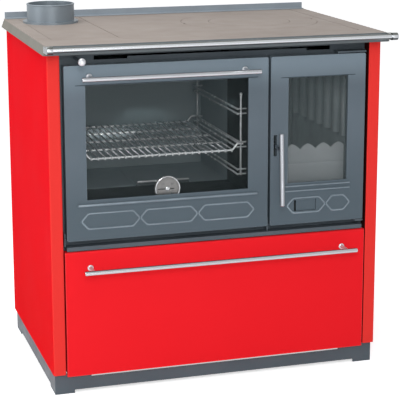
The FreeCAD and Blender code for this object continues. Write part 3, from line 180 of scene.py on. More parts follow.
def layFloor():
    # one flat pale sheet that glows a little towards the rays that show the background
    mesh = bpy.data.meshes.new("studioFloor")
    reach = studio["floorSize"]
    corners = [(-reach, -reach, 0), (reach, -reach, 0), (reach, reach, 0), (-reach, reach, 0)]
    mesh.from_pydata(corners, [], [(0, 1, 2, 3)])
    floor = bpy.data.objects.new("studioFloor", mesh)
    scene.collection.objects.link(floor)
    material, tree, shader, place = startFinish("floorPaper")
    setInputs(tree, shader, {
        "Base Color": studio["floorTone"], "Roughness": studio["floorRough"], "Specular IOR Level": 0.0,
        "Emission Color": studio["white"],
        "Emission Strength": compute(tree, "MULTIPLY", seenRay(tree), studio["floorGlow"])})
    mesh.materials.append(material)


def noise(tree, place, scale, detail=3.0, stretch=None):
    # clouds at one scale, or drawn out by a scale for each axis
    if stretch:
        place = addNode(tree, "ShaderNodeMapping", {}, {"Vector": place, "Scale": stretch}).outputs[0]
    inputs = {"Vector": place, "Scale": scale, "Detail": detail}
    return addNode(tree, "ShaderNodeTexNoise", {}, inputs).outputs["Fac"]


def spread(tree, value, low, high, start=0.3, end=0.7):
    # the noise between start and end becomes a value between low and high
    inputs = {"Value": value, "From Min": start, "From Max": end, "To Min": low, "To Max": high}
    return addNode(tree, "ShaderNodeMapRange", {}, inputs).outputs[0]


def blendTones(tree, share, first, second):
    # sockets 0, 6 and 7 are the share and the two colours of a colour mix, and output 2 is its colour
    return addNode(tree, "ShaderNodeMix", {"data_type": "RGBA"}, {0: share, 6: first, 7: second}).outputs[2]


def bumpFrom(tree, height, strength, depth):
    # a normal that leans with the height's slope, as deep as given in metres
    inputs = {"Height": height, "Strength": strength, "Distance": depth}
    return addNode(tree, "ShaderNodeBump", {}, inputs).outputs[0]


def shiftTones(tree, place, colour, shifts):
    # another tone past a height, a depth or a distance from the middle: a smooth step from start to end
    for axis, start, end, second in shifts:
        away = addNode(tree, "ShaderNodeVectorMath", {"operation": "ABSOLUTE"}, {0: place}).outputs[0]
        split = addNode(tree, "ShaderNodeSeparateXYZ", {}, {0: away if axis == "X" else place})
        past = addNode(tree, "ShaderNodeMapRange", {"interpolation_type": "SMOOTHSTEP"},
                       {"Value": split.outputs[axis], "From Min": start, "From Max": end}).outputs[0]
        colour = blendTones(tree, past, colour, tone(*second))
    return colour


# painted and cast finishes: two tones in broad patches, gloss in smaller ones, grain, and an edge tone:
# wear, on the drawer a painted highlight
coats = {
    "drawer_enamel": {
        "tones": ((232, 34, 42), (228, 31, 39)), "patch": 1.6, "rough": (0.42, 0.5), "grain": 300,
        # the wide pale edge tone here is mostly a painted highlight along the rounded edges, partly wear
        "bump": 0.02, "edge": (255, 150, 142), "edgeReach": 0.003, "wear": 1.6, "gloss": 0.012},
    "side_enamel": {
        "tones": ((232, 12, 28), (228, 9, 25)), "patch": 1.6, "rough": (0.5, 0.58), "grain": 300,
        "bump": 0.02, "edge": (246, 92, 88), "edgeReach": 0.0014, "wear": 0.8, "gloss": 0.003,
        # deeper red towards the bottom; faces behind and inside the front strips dark grey and dark red:
        # painted shade in the gaps; the front faces lighter: a painted reflection
        "shifts": [("Z", 0.42, 0.08, (227, 0, 14)), ("X", 0.4094, 0.4086, (46, 43, 43)),
                   ("X", 0.3822, 0.3815, (58, 22, 20)), ("Y", -0.2325, -0.2335, (225, 56, 52))]},
    "grey_cast": {
        "tones": ((94, 105, 114), (87, 98, 106)), "patch": 6.0, "rough": (0.48, 0.62), "grain": 620,
        "bump": 0.1, "edge": (146, 159, 168), "edgeReach": 0.002, "wear": 1.6, "gloss": 0.16,
        # lighter towards the top and darker towards the bottom: painted light and painted shade
        "shifts": [("Z", 0.705, 0.785, (116, 130, 140)), ("Z", 0.6, 0.42, (80, 92, 100))]},
    # a lighter copy of the cast paint for the raised beads and nosings: a painted highlight
    "highlit_cast": {
        "tones": ((134, 147, 156), (108, 120, 129)), "patch": 18.0, "rough": (0.4, 0.55), "grain": 620,
        "bump": 0.1, "edge": (160, 173, 181), "edgeReach": 0.001, "wear": 1.2, "gloss": 0.25},
    "grey_paint": {
        "tones": ((84, 93, 100), (74, 83, 90)), "patch": 6.0, "rough": (0.42, 0.54), "grain": 420,
        "bump": 0.06, "edge": (128, 138, 146), "edgeReach": 0.0016, "wear": 1.4, "gloss": 0.2},
    "hob_iron": {
        "tones": ((158, 148, 141), (147, 137, 130)), "patch": 4.0, "rough": (0.52, 0.64), "grain": 700,
        "bump": 0.06, "edge": (112, 104, 98), "edgeReach": 0.0022, "wear": 1.6, "gloss": 0.12,
        # the sides below the top darker and the front face darker still: painted shade under the rail
        "shifts": [("Z", 0.8385, 0.8375, (122, 120, 113)), ("Y", -0.2622, -0.2632, (105, 112, 115))]},
    "spigot_paint": {
        "tones": ((146, 156, 165), (132, 141, 149)), "patch": 7.0, "rough": (0.3, 0.4), "grain": 420,
        "bump": 0.06, "edge": (172, 181, 189), "edgeReach": 0.0018, "wear": 1.4, "gloss": 0.4},
    "collar_paint": {
        "tones": ((124, 135, 143), (113, 123, 131)), "patch": 7.0, "rough": (0.36, 0.44), "grain": 420,
        "bump": 0.06, "edge": (158, 167, 175), "edgeReach": 0.0018, "wear": 1.4, "gloss": 0.9, "bare": 0.35},
    "dark_iron": {
        "tones": ((176, 184, 186), (148, 156, 158)), "patch": 14.0, "rough": (0.65, 0.85), "grain": 380,
        "bump": 0.25, "edge": (180, 186, 186), "edgeReach": 0.0025, "wear": 1.6, "gloss": 0.2,
        # the grooves darker: painted shade; darker towards the top: a painted shadow from the window's upper
        # edge
        "grooveShade": (0.018, (84, 90, 92)), "shifts": [("Z", 0.665, 0.735, (96, 102, 104))]},
    "guard_iron": {
        "tones": ((226, 231, 234), (206, 211, 214)), "patch": 9.0, "rough": (0.6, 0.8), "grain": 420,
        "bump": 0.2, "edge": (236, 240, 241), "edgeReach": 0.002, "wear": 1.6, "gloss": 0.2},
    "oven_enamel": {
        "tones": ((158, 170, 174), (144, 156, 160)), "patch": 4.0, "rough": (0.34, 0.46), "grain": 300,
        "bump": 0.04, "edge": (150, 160, 162), "edgeReach": 0.0015, "wear": 1.2, "gloss": 0.12,
        # near black towards the front: a painted shadow on the oven's front part
        "shifts": [("Y", 0.016, 0.006, (7, 9, 10))]},
    "dark_sheet": {
        "tones": ((76, 84, 86), (64, 72, 74)), "patch": 4.0, "rough": (0.34, 0.46), "grain": 300,
        "bump": 0.04, "edge": (110, 118, 119), "edgeReach": 0.0015, "wear": 1.2, "gloss": 0.35},
    # line_paint is the dark paint of the lines along the windows' upper edges: a painted shadow
    "line_paint": {
        "tones": ((52, 62, 68), (44, 53, 58)), "patch": 20.0, "rough": (0.5, 0.6), "grain": 620,
        "bump": 0.05, "edge": (70, 80, 86), "edgeReach": 0.0004, "wear": 0.6, "gloss": 0.1},
    "needle_paint": {
        "tones": ((36, 36, 38), (24, 24, 26)), "patch": 40.0, "rough": (0.35, 0.5), "grain": 900,
        "bump": 0.03, "edge": (90, 90, 92), "edgeReach": 0.0003, "wear": 1.0, "gloss": 0.4},
}
# what they share: samples of the edge and groove search, chipped wear, grain, and patches of gloss
coatWork = {"samples": 4, "grooveShadeSpan": (0.4, 0.95), "chipScale": 30.0, "chips": (0.5, 1.0), "glossScale": 5,
            "grainDetail": 2.0, "grainDepth": 0.0006}


def edgeShare(tree, reach, gain):
    # near an edge the rounded normal turns away from the flat one: 0 on the flat, up to 1 along an edge
    rounded = addNode(tree, "ShaderNodeBevel", {"samples": coatWork["samples"]}, {"Radius": reach})
    flat = tree.nodes.new("ShaderNodeNewGeometry")
    dot = addNode(tree, "ShaderNodeVectorMath", {"operation": "DOT_PRODUCT"},
                  {0: rounded.outputs[0], 1: flat.outputs["Normal"]})
    away = compute(tree, "SUBTRACT", 1.0, dot.outputs["Value"])
    return compute(tree, "MULTIPLY", away, gain, True)


def coatFinish(name):
    # the two tones, then shifts, painted shade in grooves and the edge tone over them; gloss and grain have
    # a noise of their own
    look = coats[name]
    material, tree, shader, place = startFinish(name)
    patches = spread(tree, noise(tree, place, look["patch"]), 0, 1)
    colour = blendTones(tree, patches, *(tone(*each) for each in look["tones"]))
    colour = shiftTones(tree, place, colour, look.get("shifts", ()))
    if "grooveShade" in look:      # painted shade: darker in grooves, where the surface around closes in
        reach, second = look["grooveShade"]
        clear = addNode(tree, "ShaderNodeAmbientOcclusion", {"samples": coatWork["samples"]},
                        {"Distance": reach}).outputs["AO"]
        grooveShadeShare = spread(tree, clear, 1.0, 0.0, *coatWork["grooveShadeSpan"])
        colour = blendTones(tree, grooveShadeShare, colour, tone(*second))
    chips = spread(tree, noise(tree, place, coatWork["chipScale"]), *coatWork["chips"])
    wearAndHighlight = compute(tree, "MULTIPLY", edgeShare(tree, look["edgeReach"], look["wear"]), chips)
    gloss = noise(tree, place, look["patch"] * coatWork["glossScale"])
    grain = noise(tree, place, look["grain"], coatWork["grainDetail"])
    setInputs(tree, shader, {
        "Base Color": blendTones(tree, wearAndHighlight, colour, tone(*look["edge"])),
        "Roughness": spread(tree, gloss, *look["rough"]),
        "Normal": bumpFrom(tree, grain, look["bump"], coatWork["grainDepth"]),
        "Specular IOR Level": look["gloss"], "Metallic": look.get("bare", 0.0)})
    return material


# bare metals: brush lines, small clouds or spangles in the tone and the gloss
metals = {
    "bright_steel": {
        "tones": ((186, 188, 192), (166, 168, 173)), "lines": (6, 500, 500),
        "rough": (0.14, 0.26), "bump": 0.04},
    "lever_steel": {
        "tones": ((168, 171, 176), (150, 153, 158)), "lines": (500, 500, 6),
        "rough": (0.24, 0.36), "bump": 0.04},
    "rail_steel": {
        "tones": ((200, 203, 206), (186, 189, 193)), "lines": (6, 500, 500),
        "rough": (0.22, 0.32), "bump": 0.04,
        # dark below and above a bright middle band, and grey past the ends: a painted reflection
        "shifts": [("Z", 0.8336, 0.8316, (84, 88, 90)), ("Z", 0.8386, 0.8398, (104, 107, 104)),
                   ("X", 0.421, 0.4215, (134, 140, 143))]},
    "chrome_wire": {
        "tones": ((226, 228, 230), (206, 209, 212)), "lines": (60, 60, 60),
        "rough": (0.07, 0.16), "bump": 0.02},
    "rack_wire": {
        "tones": ((240, 243, 245), (226, 230, 232)), "lines": (60, 60, 60),
        "rough": (0.2, 0.32), "bump": 0.02, "bare": 0.3},
    "post_steel": {
        "tones": ((208, 210, 214), (190, 192, 197)), "lines": (60, 60, 60),
        "rough": (0.26, 0.38), "bump": 0.02, "bare": 0.6},
    "dial_tin": {
        "tones": ((170, 166, 164), (126, 128, 128)), "lines": (90, 90, 90),
        "rough": (0.3, 0.5), "bump": 0.03, "bare": 0.6},
    "zinc_sheet": {
        "tones": ((158, 162, 164), (146, 150, 153)), "spangle": 120.0, "rough": (0.38, 0.5), "bump": 0.05},
}
# what they share: the noise's detail, the part of it that changes the gloss, and the bump's depth in metres
metalWork = {"detail": 4.0, "span": (0.2, 0.8), "depth": 0.0003}


def metalFinish(name):
    # one noise, stretched along the brush lines, gives the tone, the gloss and the bump
    look = metals[name]
    material, tree, shader, place = startFinish(name)
    if "spangle" in look:       # cells, each with a grey of its own
        cells = addNode(tree, "ShaderNodeTexVoronoi", {}, {"Vector": place, "Scale": look["spangle"]})
        lines = addNode(tree, "ShaderNodeSeparateColor", {}, {0: cells.outputs["Color"]}).outputs[0]
    else:
        lines = noise(tree, place, 1.0, metalWork["detail"], look["lines"])
    colour = blendTones(tree, lines, *(tone(*each) for each in look["tones"]))
    setInputs(tree, shader, {
        "Base Color": shiftTones(tree, place, colour, look.get("shifts", ())),
        "Roughness": spread(tree, lines, *look["rough"], *metalWork["span"]),
        "Normal": bumpFrom(tree, lines, look["bump"], metalWork["depth"]),
        "Metallic": look.get("bare", 1.0)})
    return material


# door glass: clear at the oven, dulled at the fire
panes = {
    "glass": {"tones": ((48, 58, 60), (54, 64, 66)), "haze": 9.0, "rough": (0.02, 0.06), "alpha": 0.14,
              "gloss": 0.16},
    "sooty_glass": {"tones": ((84, 95, 97), (76, 87, 89)), "haze": 9.0, "rough": (0.03, 0.08), "alpha": 0.3,
                    "gloss": 0.16},
}


def glassFinish(name):
    # a see-through pane with a thin haze in its tone and gloss
    look = panes[name]
    material, tree, shader, place = startFinish(name)
    haze = noise(tree, place, look["haze"])
    setInputs(tree, shader, {
        "Base Color": blendTones(tree, haze, *(tone(*each) for each in look["tones"])),
        "Roughness": spread(tree, haze, *look["rough"]),
        "Alpha": look["alpha"], "Specular IOR Level": look["gloss"]})
    return material


# braided rope of the seals
rope = {"tones": ((172, 168, 158), (112, 108, 100)), "fibre": 900.0, "detail": 4.0, "bump": 0.5,
        "depth": 0.0005, "rough": 0.95, "sheen": 0.3}


def ropeFinish():
    # fine fibres in the tone and the bump
    material, tree, shader, place = startFinish("rope")
    fibres = noise(tree, place, rope["fibre"], rope["detail"])
    setInputs(tree, shader, {
        "Base Color": blendTones(tree, fibres, *(tone(*each) for each in rope["tones"])),
        "Normal": bumpFrom(tree, fibres, rope["bump"], rope["depth"]),
        "Roughness": rope["rough"], "Sheen Weight": rope["sheen"]})
    return material


finishes = {name: coatFinish(name) for name in coats}
finishes.update({name: metalFinish(name) for name in metals})
finishes.update({name: glassFinish(name) for name in panes})
finishes["rope"] = ropeFinish()
print("finishes made:", len(finishes))

# nodes that have another finish than their slot's
ownFinish = {
    "flue_collar": "collar_paint", "rear_upstand": "spigot_paint", "rail_brackets": "rail_steel",
    "drawer_front": "drawer_enamel", "thermometer_case": "dial_tin", "fire_door_glass": "sooty_glass",
    "oven_box": "oven_enamel", "oven_baffle": "oven_enamel", "oven_floor_cover": "oven_enamel",
    "left_side_panel": "side_enamel", "right_side_panel": "side_enamel",
}
# rounding of the CAD nodes' edges, in millimetres
rounding = {
    "oven_door_frame": 1.2, "fire_door_frame": 1.2, "front_frame": 0.8, "vent_strip": 0.6, "plinth": 0.8,
    "drawer_front": 0.7, "hob_frame": 0.9, "flue_plate": 0.7, "cooking_plate": 0.7, "hob_ring": 0.6,
    "hob_lid": 0.6, "rear_upstand": 0.9, "rail_brackets": 2.0, "oven_floor_cover": 0.5,
    "fire_hinge_brackets": 0.6, "oven_hinge_brackets": 0.6, "right_firebox_plate": 1.0,
    "left_firebox_plate": 1.5, "rear_firebox_plate": 1.5, "fire_grate": 1.2, "firebox_floor": 1.0,
    "air_slider": 0.8, "ash_pan": 0.6, "drawer_tray": 0.5,
}
roundWork = {"merge": 0.02, "flat": 1, "sharp": 40, "segments": 2}      # millimetres and degrees


def dressNodes():
    # each node gets its finish; for rounded edges its points merge, its flat faces join and a bevel follows
    for row in frame["record"]["subparts"]:
        mesh = nodes[row["node"]].data
        mesh.materials.clear()
        mesh.materials.append(finishes[ownFinish.get(row["node"], row["material_slot"])])
    for name, width in rounding.items():
        weld = nodes[name].modifiers.new("weld", "WELD")
        weld.merge_threshold = roundWork["merge"] * mm
        flat = nodes[name].modifiers.new("flatten", "DECIMATE")
        flat.decimate_type = "DISSOLVE"
        flat.angle_limit = math.radians(roundWork["flat"])
        bevel = nodes[name].modifiers.new("round", "BEVEL")
        bevel.width, bevel.segments = width * mm, roundWork["segments"]
        bevel.limit_method, bevel.angle_limit = "ANGLE", math.radians(roundWork["sharp"])
        bevel.use_clamp_overlap = True
        bevel.harden_normals = True


def unit(vectors):
    # each vector over its own length
    return vectors / np.linalg.norm(vectors, axis=-1, keepdims=True)


def nodeSpan(name):
    # lowest and highest corner of a CAD node, in millimetres
    low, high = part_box(name)
    return np.array(low) / mm, np.array(high) / mm


def gridFaces(rows, cols, wrapRows, start):
    # a quad from each point to its next row and column; columns always close, rows only in a ring
    row, col = np.meshgrid(np.arange(rows if wrapRows else rows - 1), np.arange(cols), indexing="ij")
    nextRow, nextCol = (row + 1) % rows, (col + 1) % cols
    corners = (row * cols + col, nextRow * cols + col, nextRow * cols + nextCol, row * cols + nextCol)
    return (np.stack(corners, -1).reshape(-1, 4) + start).tolist()


def putPiece(name, grids, finish, body, stands=(), sharp=40):
    # grids of points in millimetres become one mesh: a tube is capped, a ring joins its end to its start,
    # and a turned shape closes at its poles when the points there are merged
    faces, start = [], 0
    for grid, kind in grids:
        rows, cols = grid.shape[:2]
        last = start + (rows - 1) * cols
        faces += gridFaces(rows, cols, kind == "ring", start)
        if kind == "tube":
            faces += [list(range(start, start + cols)), list(range(last, last + cols))]
        start += rows * cols
    points = np.concatenate([grid.reshape(-1, 3) for grid, kind in grids])
    finishMesh(name, points, faces, finish, body, stands, sharp)


weldWithin = 1e-6       # points that are nearer than this, in metres, become one


def finishMesh(name, points, faces, finish, body, stands=(), sharp=40):
    # near points merge, faces point outwards, and edges that turn by more than the sharp angle stay sharp
    mesh = bpy.data.meshes.new(name)
    mesh.from_pydata((points * mm).tolist(), [], faces)
    shell = bmesh.new()
    shell.from_mesh(mesh)
    bmesh.ops.remove_doubles(shell, verts=shell.verts, dist=weldWithin)
    bmesh.ops.recalc_face_normals(shell, faces=shell.faces)
    shell.to_mesh(mesh)
    shell.free()
    mesh.shade_smooth()
    mesh.set_sharp_from_angle(angle=math.radians(sharp))
    mesh.materials.append(finishes[finish])
    piece = bpy.data.objects.new(name, mesh)
    scene.collection.objects.link(piece)
    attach(piece, body)
    if stands:
        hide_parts(*stands)


def circle(around):
    # the angles of one full turn in even steps
    return np.linspace(0, 2 * np.pi, around, endpoint=False)


def turnedGrid(profile, base, axis, around=24):
    # turned shape: every (distance, radius) of the profile is a circle about the axis
    profile, axis = np.asarray(profile, float), unit(np.asarray(axis, float))
    side = unit(np.cross(axis, (0, 0, 1) if abs(axis[0]) > 0.9 else (1, 0, 0)))
    other = np.cross(axis, side)
    angle = circle(around)[:, None]
    ring = np.cos(angle) * side + np.sin(angle) * other
    return np.asarray(base, float) + profile[:, None, :1] * axis + profile[:, None, 1:] * ring


def cornerPath(corners, reach, steps=6, closed=False):
    # straight runs joined at each corner by a quadratic curve that starts and ends at the reach from it
    corners = np.asarray(corners, float)
    start = corners + unit(np.roll(corners, 1, 0) - corners) * reach
    end = corners + unit(np.roll(corners, -1, 0) - corners) * reach
    t = np.linspace(0, 1, steps)[None, :, None]
    curves = (1 - t) ** 2 * start[:, None] + 2 * t * (1 - t) * corners[:, None] + t ** 2 * end[:, None]
    if closed:
        return curves.reshape(-1, 3)
    return np.vstack((corners[:1], curves[1:-1].reshape(-1, 3), corners[-1:]))


domeTurns = (86, 60, 30)        # degrees of the circles in a wire's domed end, from its tip


def wireGrid(path, radius, across, around=10, dome=0.7):
    # round wire: a circle square to the path at each of its points, and shrinking circles that dome each end
    path = np.asarray(path, float)
    run = unit(np.gradient(path, axis=0))
    turn = np.radians(domeTurns)
    lead = (np.sin(turn) * radius * dome)[:, None]
    centres = np.vstack((path[0] - run[0] * lead, path, path[-1] + run[-1] * lead[::-1]))
    run = np.vstack((run[:1].repeat(len(turn), 0), run, run[-1:].repeat(len(turn), 0)))
    size = np.concatenate((np.cos(turn), np.ones(len(path)), np.cos(turn[::-1]))) * radius
    side = unit(np.cross(run, across))
    other = np.cross(run, side)
    angle = circle(around)[None, :, None]
    ring = np.cos(angle) * side[:, None] + np.sin(angle) * other[:, None]
    return centres[:, None] + size[:, None, None] * ring


def beadGrid(loop, width, height, sink=0.8, steps=8):
    # raised bead on a door's face: half an ellipse carried round a closed line, its foot sunk in the face
    run = unit(np.roll(loop, -1, 0) - np.roll(loop, 1, 0))
    side = np.cross(run, (0, -1, 0))
    angle = np.linspace(0, np.pi, steps)
    across = np.concatenate(((1,), np.cos(angle), (-1,))) * width / 2
    out = np.concatenate(((-sink,), np.sin(angle) * height, (-sink,)))
    return loop[:, None] + across[None, :, None] * side[:, None] + out[None, :, None] * np.array((0, -1, 0))


# bars of the doors, the drawer and the hob: stainless, as (piece, node, posts' node, body, finish)
bars = {"rows": (("ovenBar", "oven_door_bar", "oven_bar_posts", "oven_door", "bright_steel"),
                 ("drawerBar", "drawer_bar", "drawer_bar_posts", "drawer", "bright_steel"),
                 ("hobRail", "front_rail", None, "stove", "rail_steel")),
        "chamfer": 1.1, "around": 28}
# their posts: the dome of the foot is in shares of its rise and its radius
posts = {"foot": 7.2, "rise": 2.8, "dome": ((0.35, 1.0), (0.7, 0.94), (0.95, 0.8)), "neck": 4.0,
         "fillet": 0.8, "stemFrom": 1.4}


def barGrid(start, end, radius):
    # bar: one radius along its length, a small chamfer and a flat face at each end
    start, end = np.asarray(start, float), np.asarray(end, float)
    length, chamfer = np.linalg.norm(end - start), bars["chamfer"]
    profile = [(0, 0), (0, radius - chamfer), (chamfer, radius), (length - chamfer, radius),
               (length, radius - chamfer), (length, 0)]
    return turnedGrid(profile, start, end - start, bars["around"])


def postGrid(spot, reach):
    # post: a low domed foot on the face narrows to the stem, which ends inside the bar
    foot, rise, neck = posts["foot"], posts["rise"], posts["neck"]
    dome = [(rise * up, foot * out) for up, out in posts["dome"]]
    profile = [(0, 0), (0, foot), *dome, (rise, neck + posts["fillet"]), (rise * posts["stemFrom"], neck),
               (reach, neck), (reach, 0)]
    return turnedGrid(profile, spot, (0, -1, 0))


def makeBars():
    # each bar runs along the middle of its node and is as thick as that is high
    for name, barNode, postNode, body, finish in bars["rows"]:
        low, high = nodeSpan(barNode)
        middle, radius = (low + high) / 2, (high[2] - low[2]) / 2
        grid = barGrid((low[0], middle[1], middle[2]), (high[0], middle[1], middle[2]), radius)
        putPiece(name, [(grid, "turned")], finish, body, [barNode])
        if postNode:
            low, high = nodeSpan(postNode)
            radius = (high[2] - low[2]) / 2
            spots = [(x, high[1], low[2] + radius) for x in (low[0] + radius, high[0] - radius)]
            grids = [(postGrid(spot, high[1] - low[1]), "turned") for spot in spots]
            putPiece(name + "Posts", grids, "post_steel", body, [postNode])


# bar of the fire door's lever, in millimetres and degrees
fireBar = {"top": (141, -277.5, 611), "length": 174, "lean": 3.6, "radius": 5.5}


def makeFireBar():
    # from its upper end straight down, leaning forward
    lean = math.radians(fireBar["lean"])
    top = np.array(fireBar["top"])
    foot = top + np.array((0, -math.sin(lean), -math.cos(lean))) * fireBar["length"]
    grid = barGrid(top, foot, fireBar["radius"])
    putPiece("fireBar", [(grid, "turned")], "lever_steel", "fire_handle", ["fire_door_bar"])


# ball of the damper: the share of the half turn at which it stops, and its neck
damperBall = {"stop": 0.84, "neck": 5.0, "steps": 20, "around": 32}


def makeDamperBall():
    # a sphere, turned from part of a half circle, that runs into a short neck on its rod
    low, high = nodeSpan("damper_knob")
    radius = (high[0] - low[0]) / 2
    turn = np.linspace(0, math.pi * damperBall["stop"], damperBall["steps"])
    ball = np.stack((radius - radius * np.cos(turn), radius * np.sin(turn)), -1)
    end = ball[-1, 0] + damperBall["neck"]
    profile = np.vstack((ball, [(end, ball[-1, 1]), (end, 0)]))
    spot = ((low[0] + high[0]) / 2, low[1], (low[2] + high[2]) / 2)
    grid = turnedGrid(profile, spot, (0, 1, 0), damperBall["around"])
    putPiece("damperBall", [(grid, "turned")], "post_steel", "damper", ["damper_knob"])


# oven rack, in millimetres: long wires over cross bars, with a rail at each side
rack = {"gridX": (-298, 49), "wires": 22, "wireRadius": 2.0, "wireAround": 8, "gridZ": 560.8,
        "y": (-177.5, 209.5), "lip": 4.4, "lipDrop": 6.0, "lipBend": 2.6, "barZ": 557.8, "bars": 5,
        "barRadius": 2.5, "barPast": 6, "barBend": 4.0, "riseFoot": 3, "riseHead": 15,
        "railX": (-325, 76), "railZ": 572.8, "overhang": 5.0}


def makeRack():
    z, y, overhang = rack["gridZ"], rack["y"], rack["overhang"]
    grids = []
    # long wires: straight from back to front, each bent down over the front bar
    tip = y[0] - rack["lip"]
    for x in np.linspace(*rack["gridX"], rack["wires"]):
        corners = [(x, y[1] + overhang, z), (x, tip, z), (x, tip, z - rack["lipDrop"])]
        path = cornerPath(corners, rack["lipBend"])
        grids.append((wireGrid(path, rack["wireRadius"], (1, 0, 0), rack["wireAround"]), "tube"))
    # cross bars: the first and last rise at both ends and reach out to the side rails
    low, high, past = rack["barZ"], rack["railZ"], rack["barPast"]
    flatLeft, flatRight = rack["gridX"]
    left, right = rack["railX"]
    foot, head = rack["riseFoot"], rack["riseHead"]
    for index, barY in enumerate(np.linspace(*y, rack["bars"])):
        if index in (0, rack["bars"] - 1):
            corners = [(left, barY, high), (flatLeft - head, barY, high), (flatLeft - foot, barY, low),
                       (flatRight + foot, barY, low), (flatRight + head, barY, high), (right, barY, high)]
            path = cornerPath(corners, rack["barBend"])
        else:
            path = np.array([(flatLeft - past, barY, low), (flatRight + past, barY, low)])
        grids.append((wireGrid(path, rack["barRadius"], (0, 1, 0)), "tube"))
    for x in rack["railX"]:
        path = np.array([(x, y[0] - overhang, high), (x, y[1] + overhang, high)])
        grids.append((wireGrid(path, rack["wireRadius"], (1, 0, 0)), "tube"))
    putPiece("ovenRack", grids, "rack_wire", "stove", ["oven_rack"])


# wire ladders that carry the rack, in millimetres: posts with ball tips, and pairs of runners on pegs
ladders = {"runnerX": (-326, 77), "postX": (-335, 86), "wallX": (-349, 100), "y": (-138.5, 226.5),
           "z": (486, 687), "wire": 2.5, "overhang": 4, "levels": (488.1, 556.0, 638.9), "pair": 12,
           "peg": 2.0, "pegDome": 0.01, "tip": 4.0, "tipSteps": 12, "tipAround": 16}


def makeLadders():
    # straight wires between the given places, and a sphere turned from a half circle on each post
    grids = []
    y, z, reach = ladders["y"], ladders["z"], ladders["overhang"]
    heights = [level + step for level in ladders["levels"] for step in (0, ladders["pair"])]
    turn = np.linspace(0, math.pi, ladders["tipSteps"])
    ball = np.stack((-np.cos(turn), np.sin(turn)), -1) * ladders["tip"]
    for runnerX, postX, wallX in zip(ladders["runnerX"], ladders["postX"], ladders["wallX"]):
        for postY in y:
            post = np.array([(postX, postY, z[0]), (postX, postY, z[1])])
            grids.append((wireGrid(post, ladders["wire"], (1, 0, 0)), "tube"))
            tip = turnedGrid(ball, (postX, postY, z[1]), (0, 0, 1), ladders["tipAround"])
            grids.append((tip, "turned"))
            for height in heights:
                peg = np.array([(runnerX, postY, height), (wallX, postY, height)])
                grids.append((wireGrid(peg, ladders["peg"], (0, 1, 0), dome=ladders["pegDome"]), "tube"))
        for height in heights:
            runner = np.array([(runnerX, y[0] - reach, height), (runnerX, y[1] + reach, height)])
            grids.append((wireGrid(runner, ladders["wire"], (1, 0, 0)), "tube"))
    putPiece("rackLadders", grids, "rack_wire", "stove", ["rack_ladders"])


# log guard behind the fire glass: a flat plate with a scalloped top and a pressed line, in millimetres;
# its rows are shares of its height, and those between the lineRows stand level about the pressed line
guard = {"columns": 181, "peaks": 20.25, "dipStart": 148, "dipPitch": 40.5, "dipDepth": 13, "shape": 1.5,
         "rows": (0, 0.2, 0.36, 0.44, 0.455, 0.47, 0.485, 0.52, 0.7, 0.9, 0.985, 1.0),
         "lineRows": (0.3, 0.6), "lineRow": 0.47, "rowSpan": 104, "lineZ": 512, "lineHalf": 2.2,
         "lineDepth": 1.4, "round": 1.6, "sharp": 30}


def makeGuard():
    low, high = nodeSpan("log_guard")
    x, peaks = np.linspace(low[0], high[0], guard["columns"]), guard["peaks"]
    # top line: full height at the peaks, down to a point at each dip, as a power of the way to the dip
    away = np.abs((x - guard["dipStart"] + peaks) % guard["dipPitch"] - peaks) / peaks
    top = high[2] - guard["dipDepth"] * (1 - away) ** guard["shape"]
    share = np.array(guard["rows"])
    first, last = guard["lineRows"]
    level = guard["lineZ"] + (share - guard["lineRow"]) * guard["rowSpan"]
    z = np.where((share > first) & (share < last), level, low[2] + (top[:, None] - low[2]) * share)
    # the line dents the front as a bell curve of the height, and the top row eases both faces' edges
    dent = guard["lineDepth"] * np.exp(-((z - guard["lineZ"]) / guard["lineHalf"]) ** 2)
    edge = np.where(share == 1.0, guard["round"], 0.0)
    wide = np.broadcast_to(x[:, None], z.shape)
    frontFace = np.stack((wide, low[1] + dent + edge, z), -1)
    backFace = np.stack((wide, np.broadcast_to(high[1] - edge, z.shape), z), -1)
    grid = np.concatenate((frontFace, backFace[:, ::-1]), 1)
    putPiece("logGuard", [(grid, "tube")], "guard_iron", "stove", ["log_guard"], guard["sharp"])


# mouldings of the doors: chains of long hexagons, each a half-round bead; spans are (left, length)
chains = {"width": 4.2, "height": 2.2, "midZ": 422.5, "halfHeight": 18.5, "slope": 16.9, "tipIn": 0.6,
          "corner": 5.0, "cornerSteps": 5, "sharp": 60, "ovenMiddle": -124.5, "ovenPitch": 141.67,
          "ovenCount": 3, "fireSpans": ((171, 101), (272, 64))}


def hexagonChain(spans):
    # each span becomes a hexagon with eased corners, and a bead is carried round it
    z, up, slope, tip = chains["midZ"], chains["halfHeight"], chains["slope"], chains["tipIn"]
    grids = []
    for left, length in spans:
        right = left + length
        corners = [(left + tip, front, z), (left + slope, front, z + up), (right - slope, front, z + up),
                   (right - tip, front, z), (right - slope, front, z - up), (left + slope, front, z - up)]
        loop = cornerPath(corners, chains["corner"], chains["cornerSteps"], True)
        grids.append((beadGrid(loop, chains["width"], chains["height"]), "ring"))
    return grids


def makeChains():
    # the oven door's hexagons stand at an even pitch about its middle, the fire door's on their own spans
    pitch, count, sharp = chains["ovenPitch"], chains["ovenCount"], chains["sharp"]
    first = chains["ovenMiddle"] - pitch * count / 2
    ovenSpans = [(first + pitch * index, pitch) for index in range(count)]
    # the beads take the lighter cast tone: a painted highlight on the raised lines
    putPiece("ovenMoulding", hexagonChain(ovenSpans), "highlit_cast", "oven_door", (), sharp)
    putPiece("fireMoulding", hexagonChain(chains["fireSpans"]), "highlit_cast", "fire_door", (), sharp)


# ledges of the castings, each with a nosing, as (left, right, height, radius)
ledges = {"ovenLedge": ((-344.5, 95.5, 461.5, 2.6),),
          "fireLedges": ((165, 335, 459.6, 1.9), (165, 335, 471.6, 1.9)),
          "reach": 2.6, "around": 12, "sharp": 60}


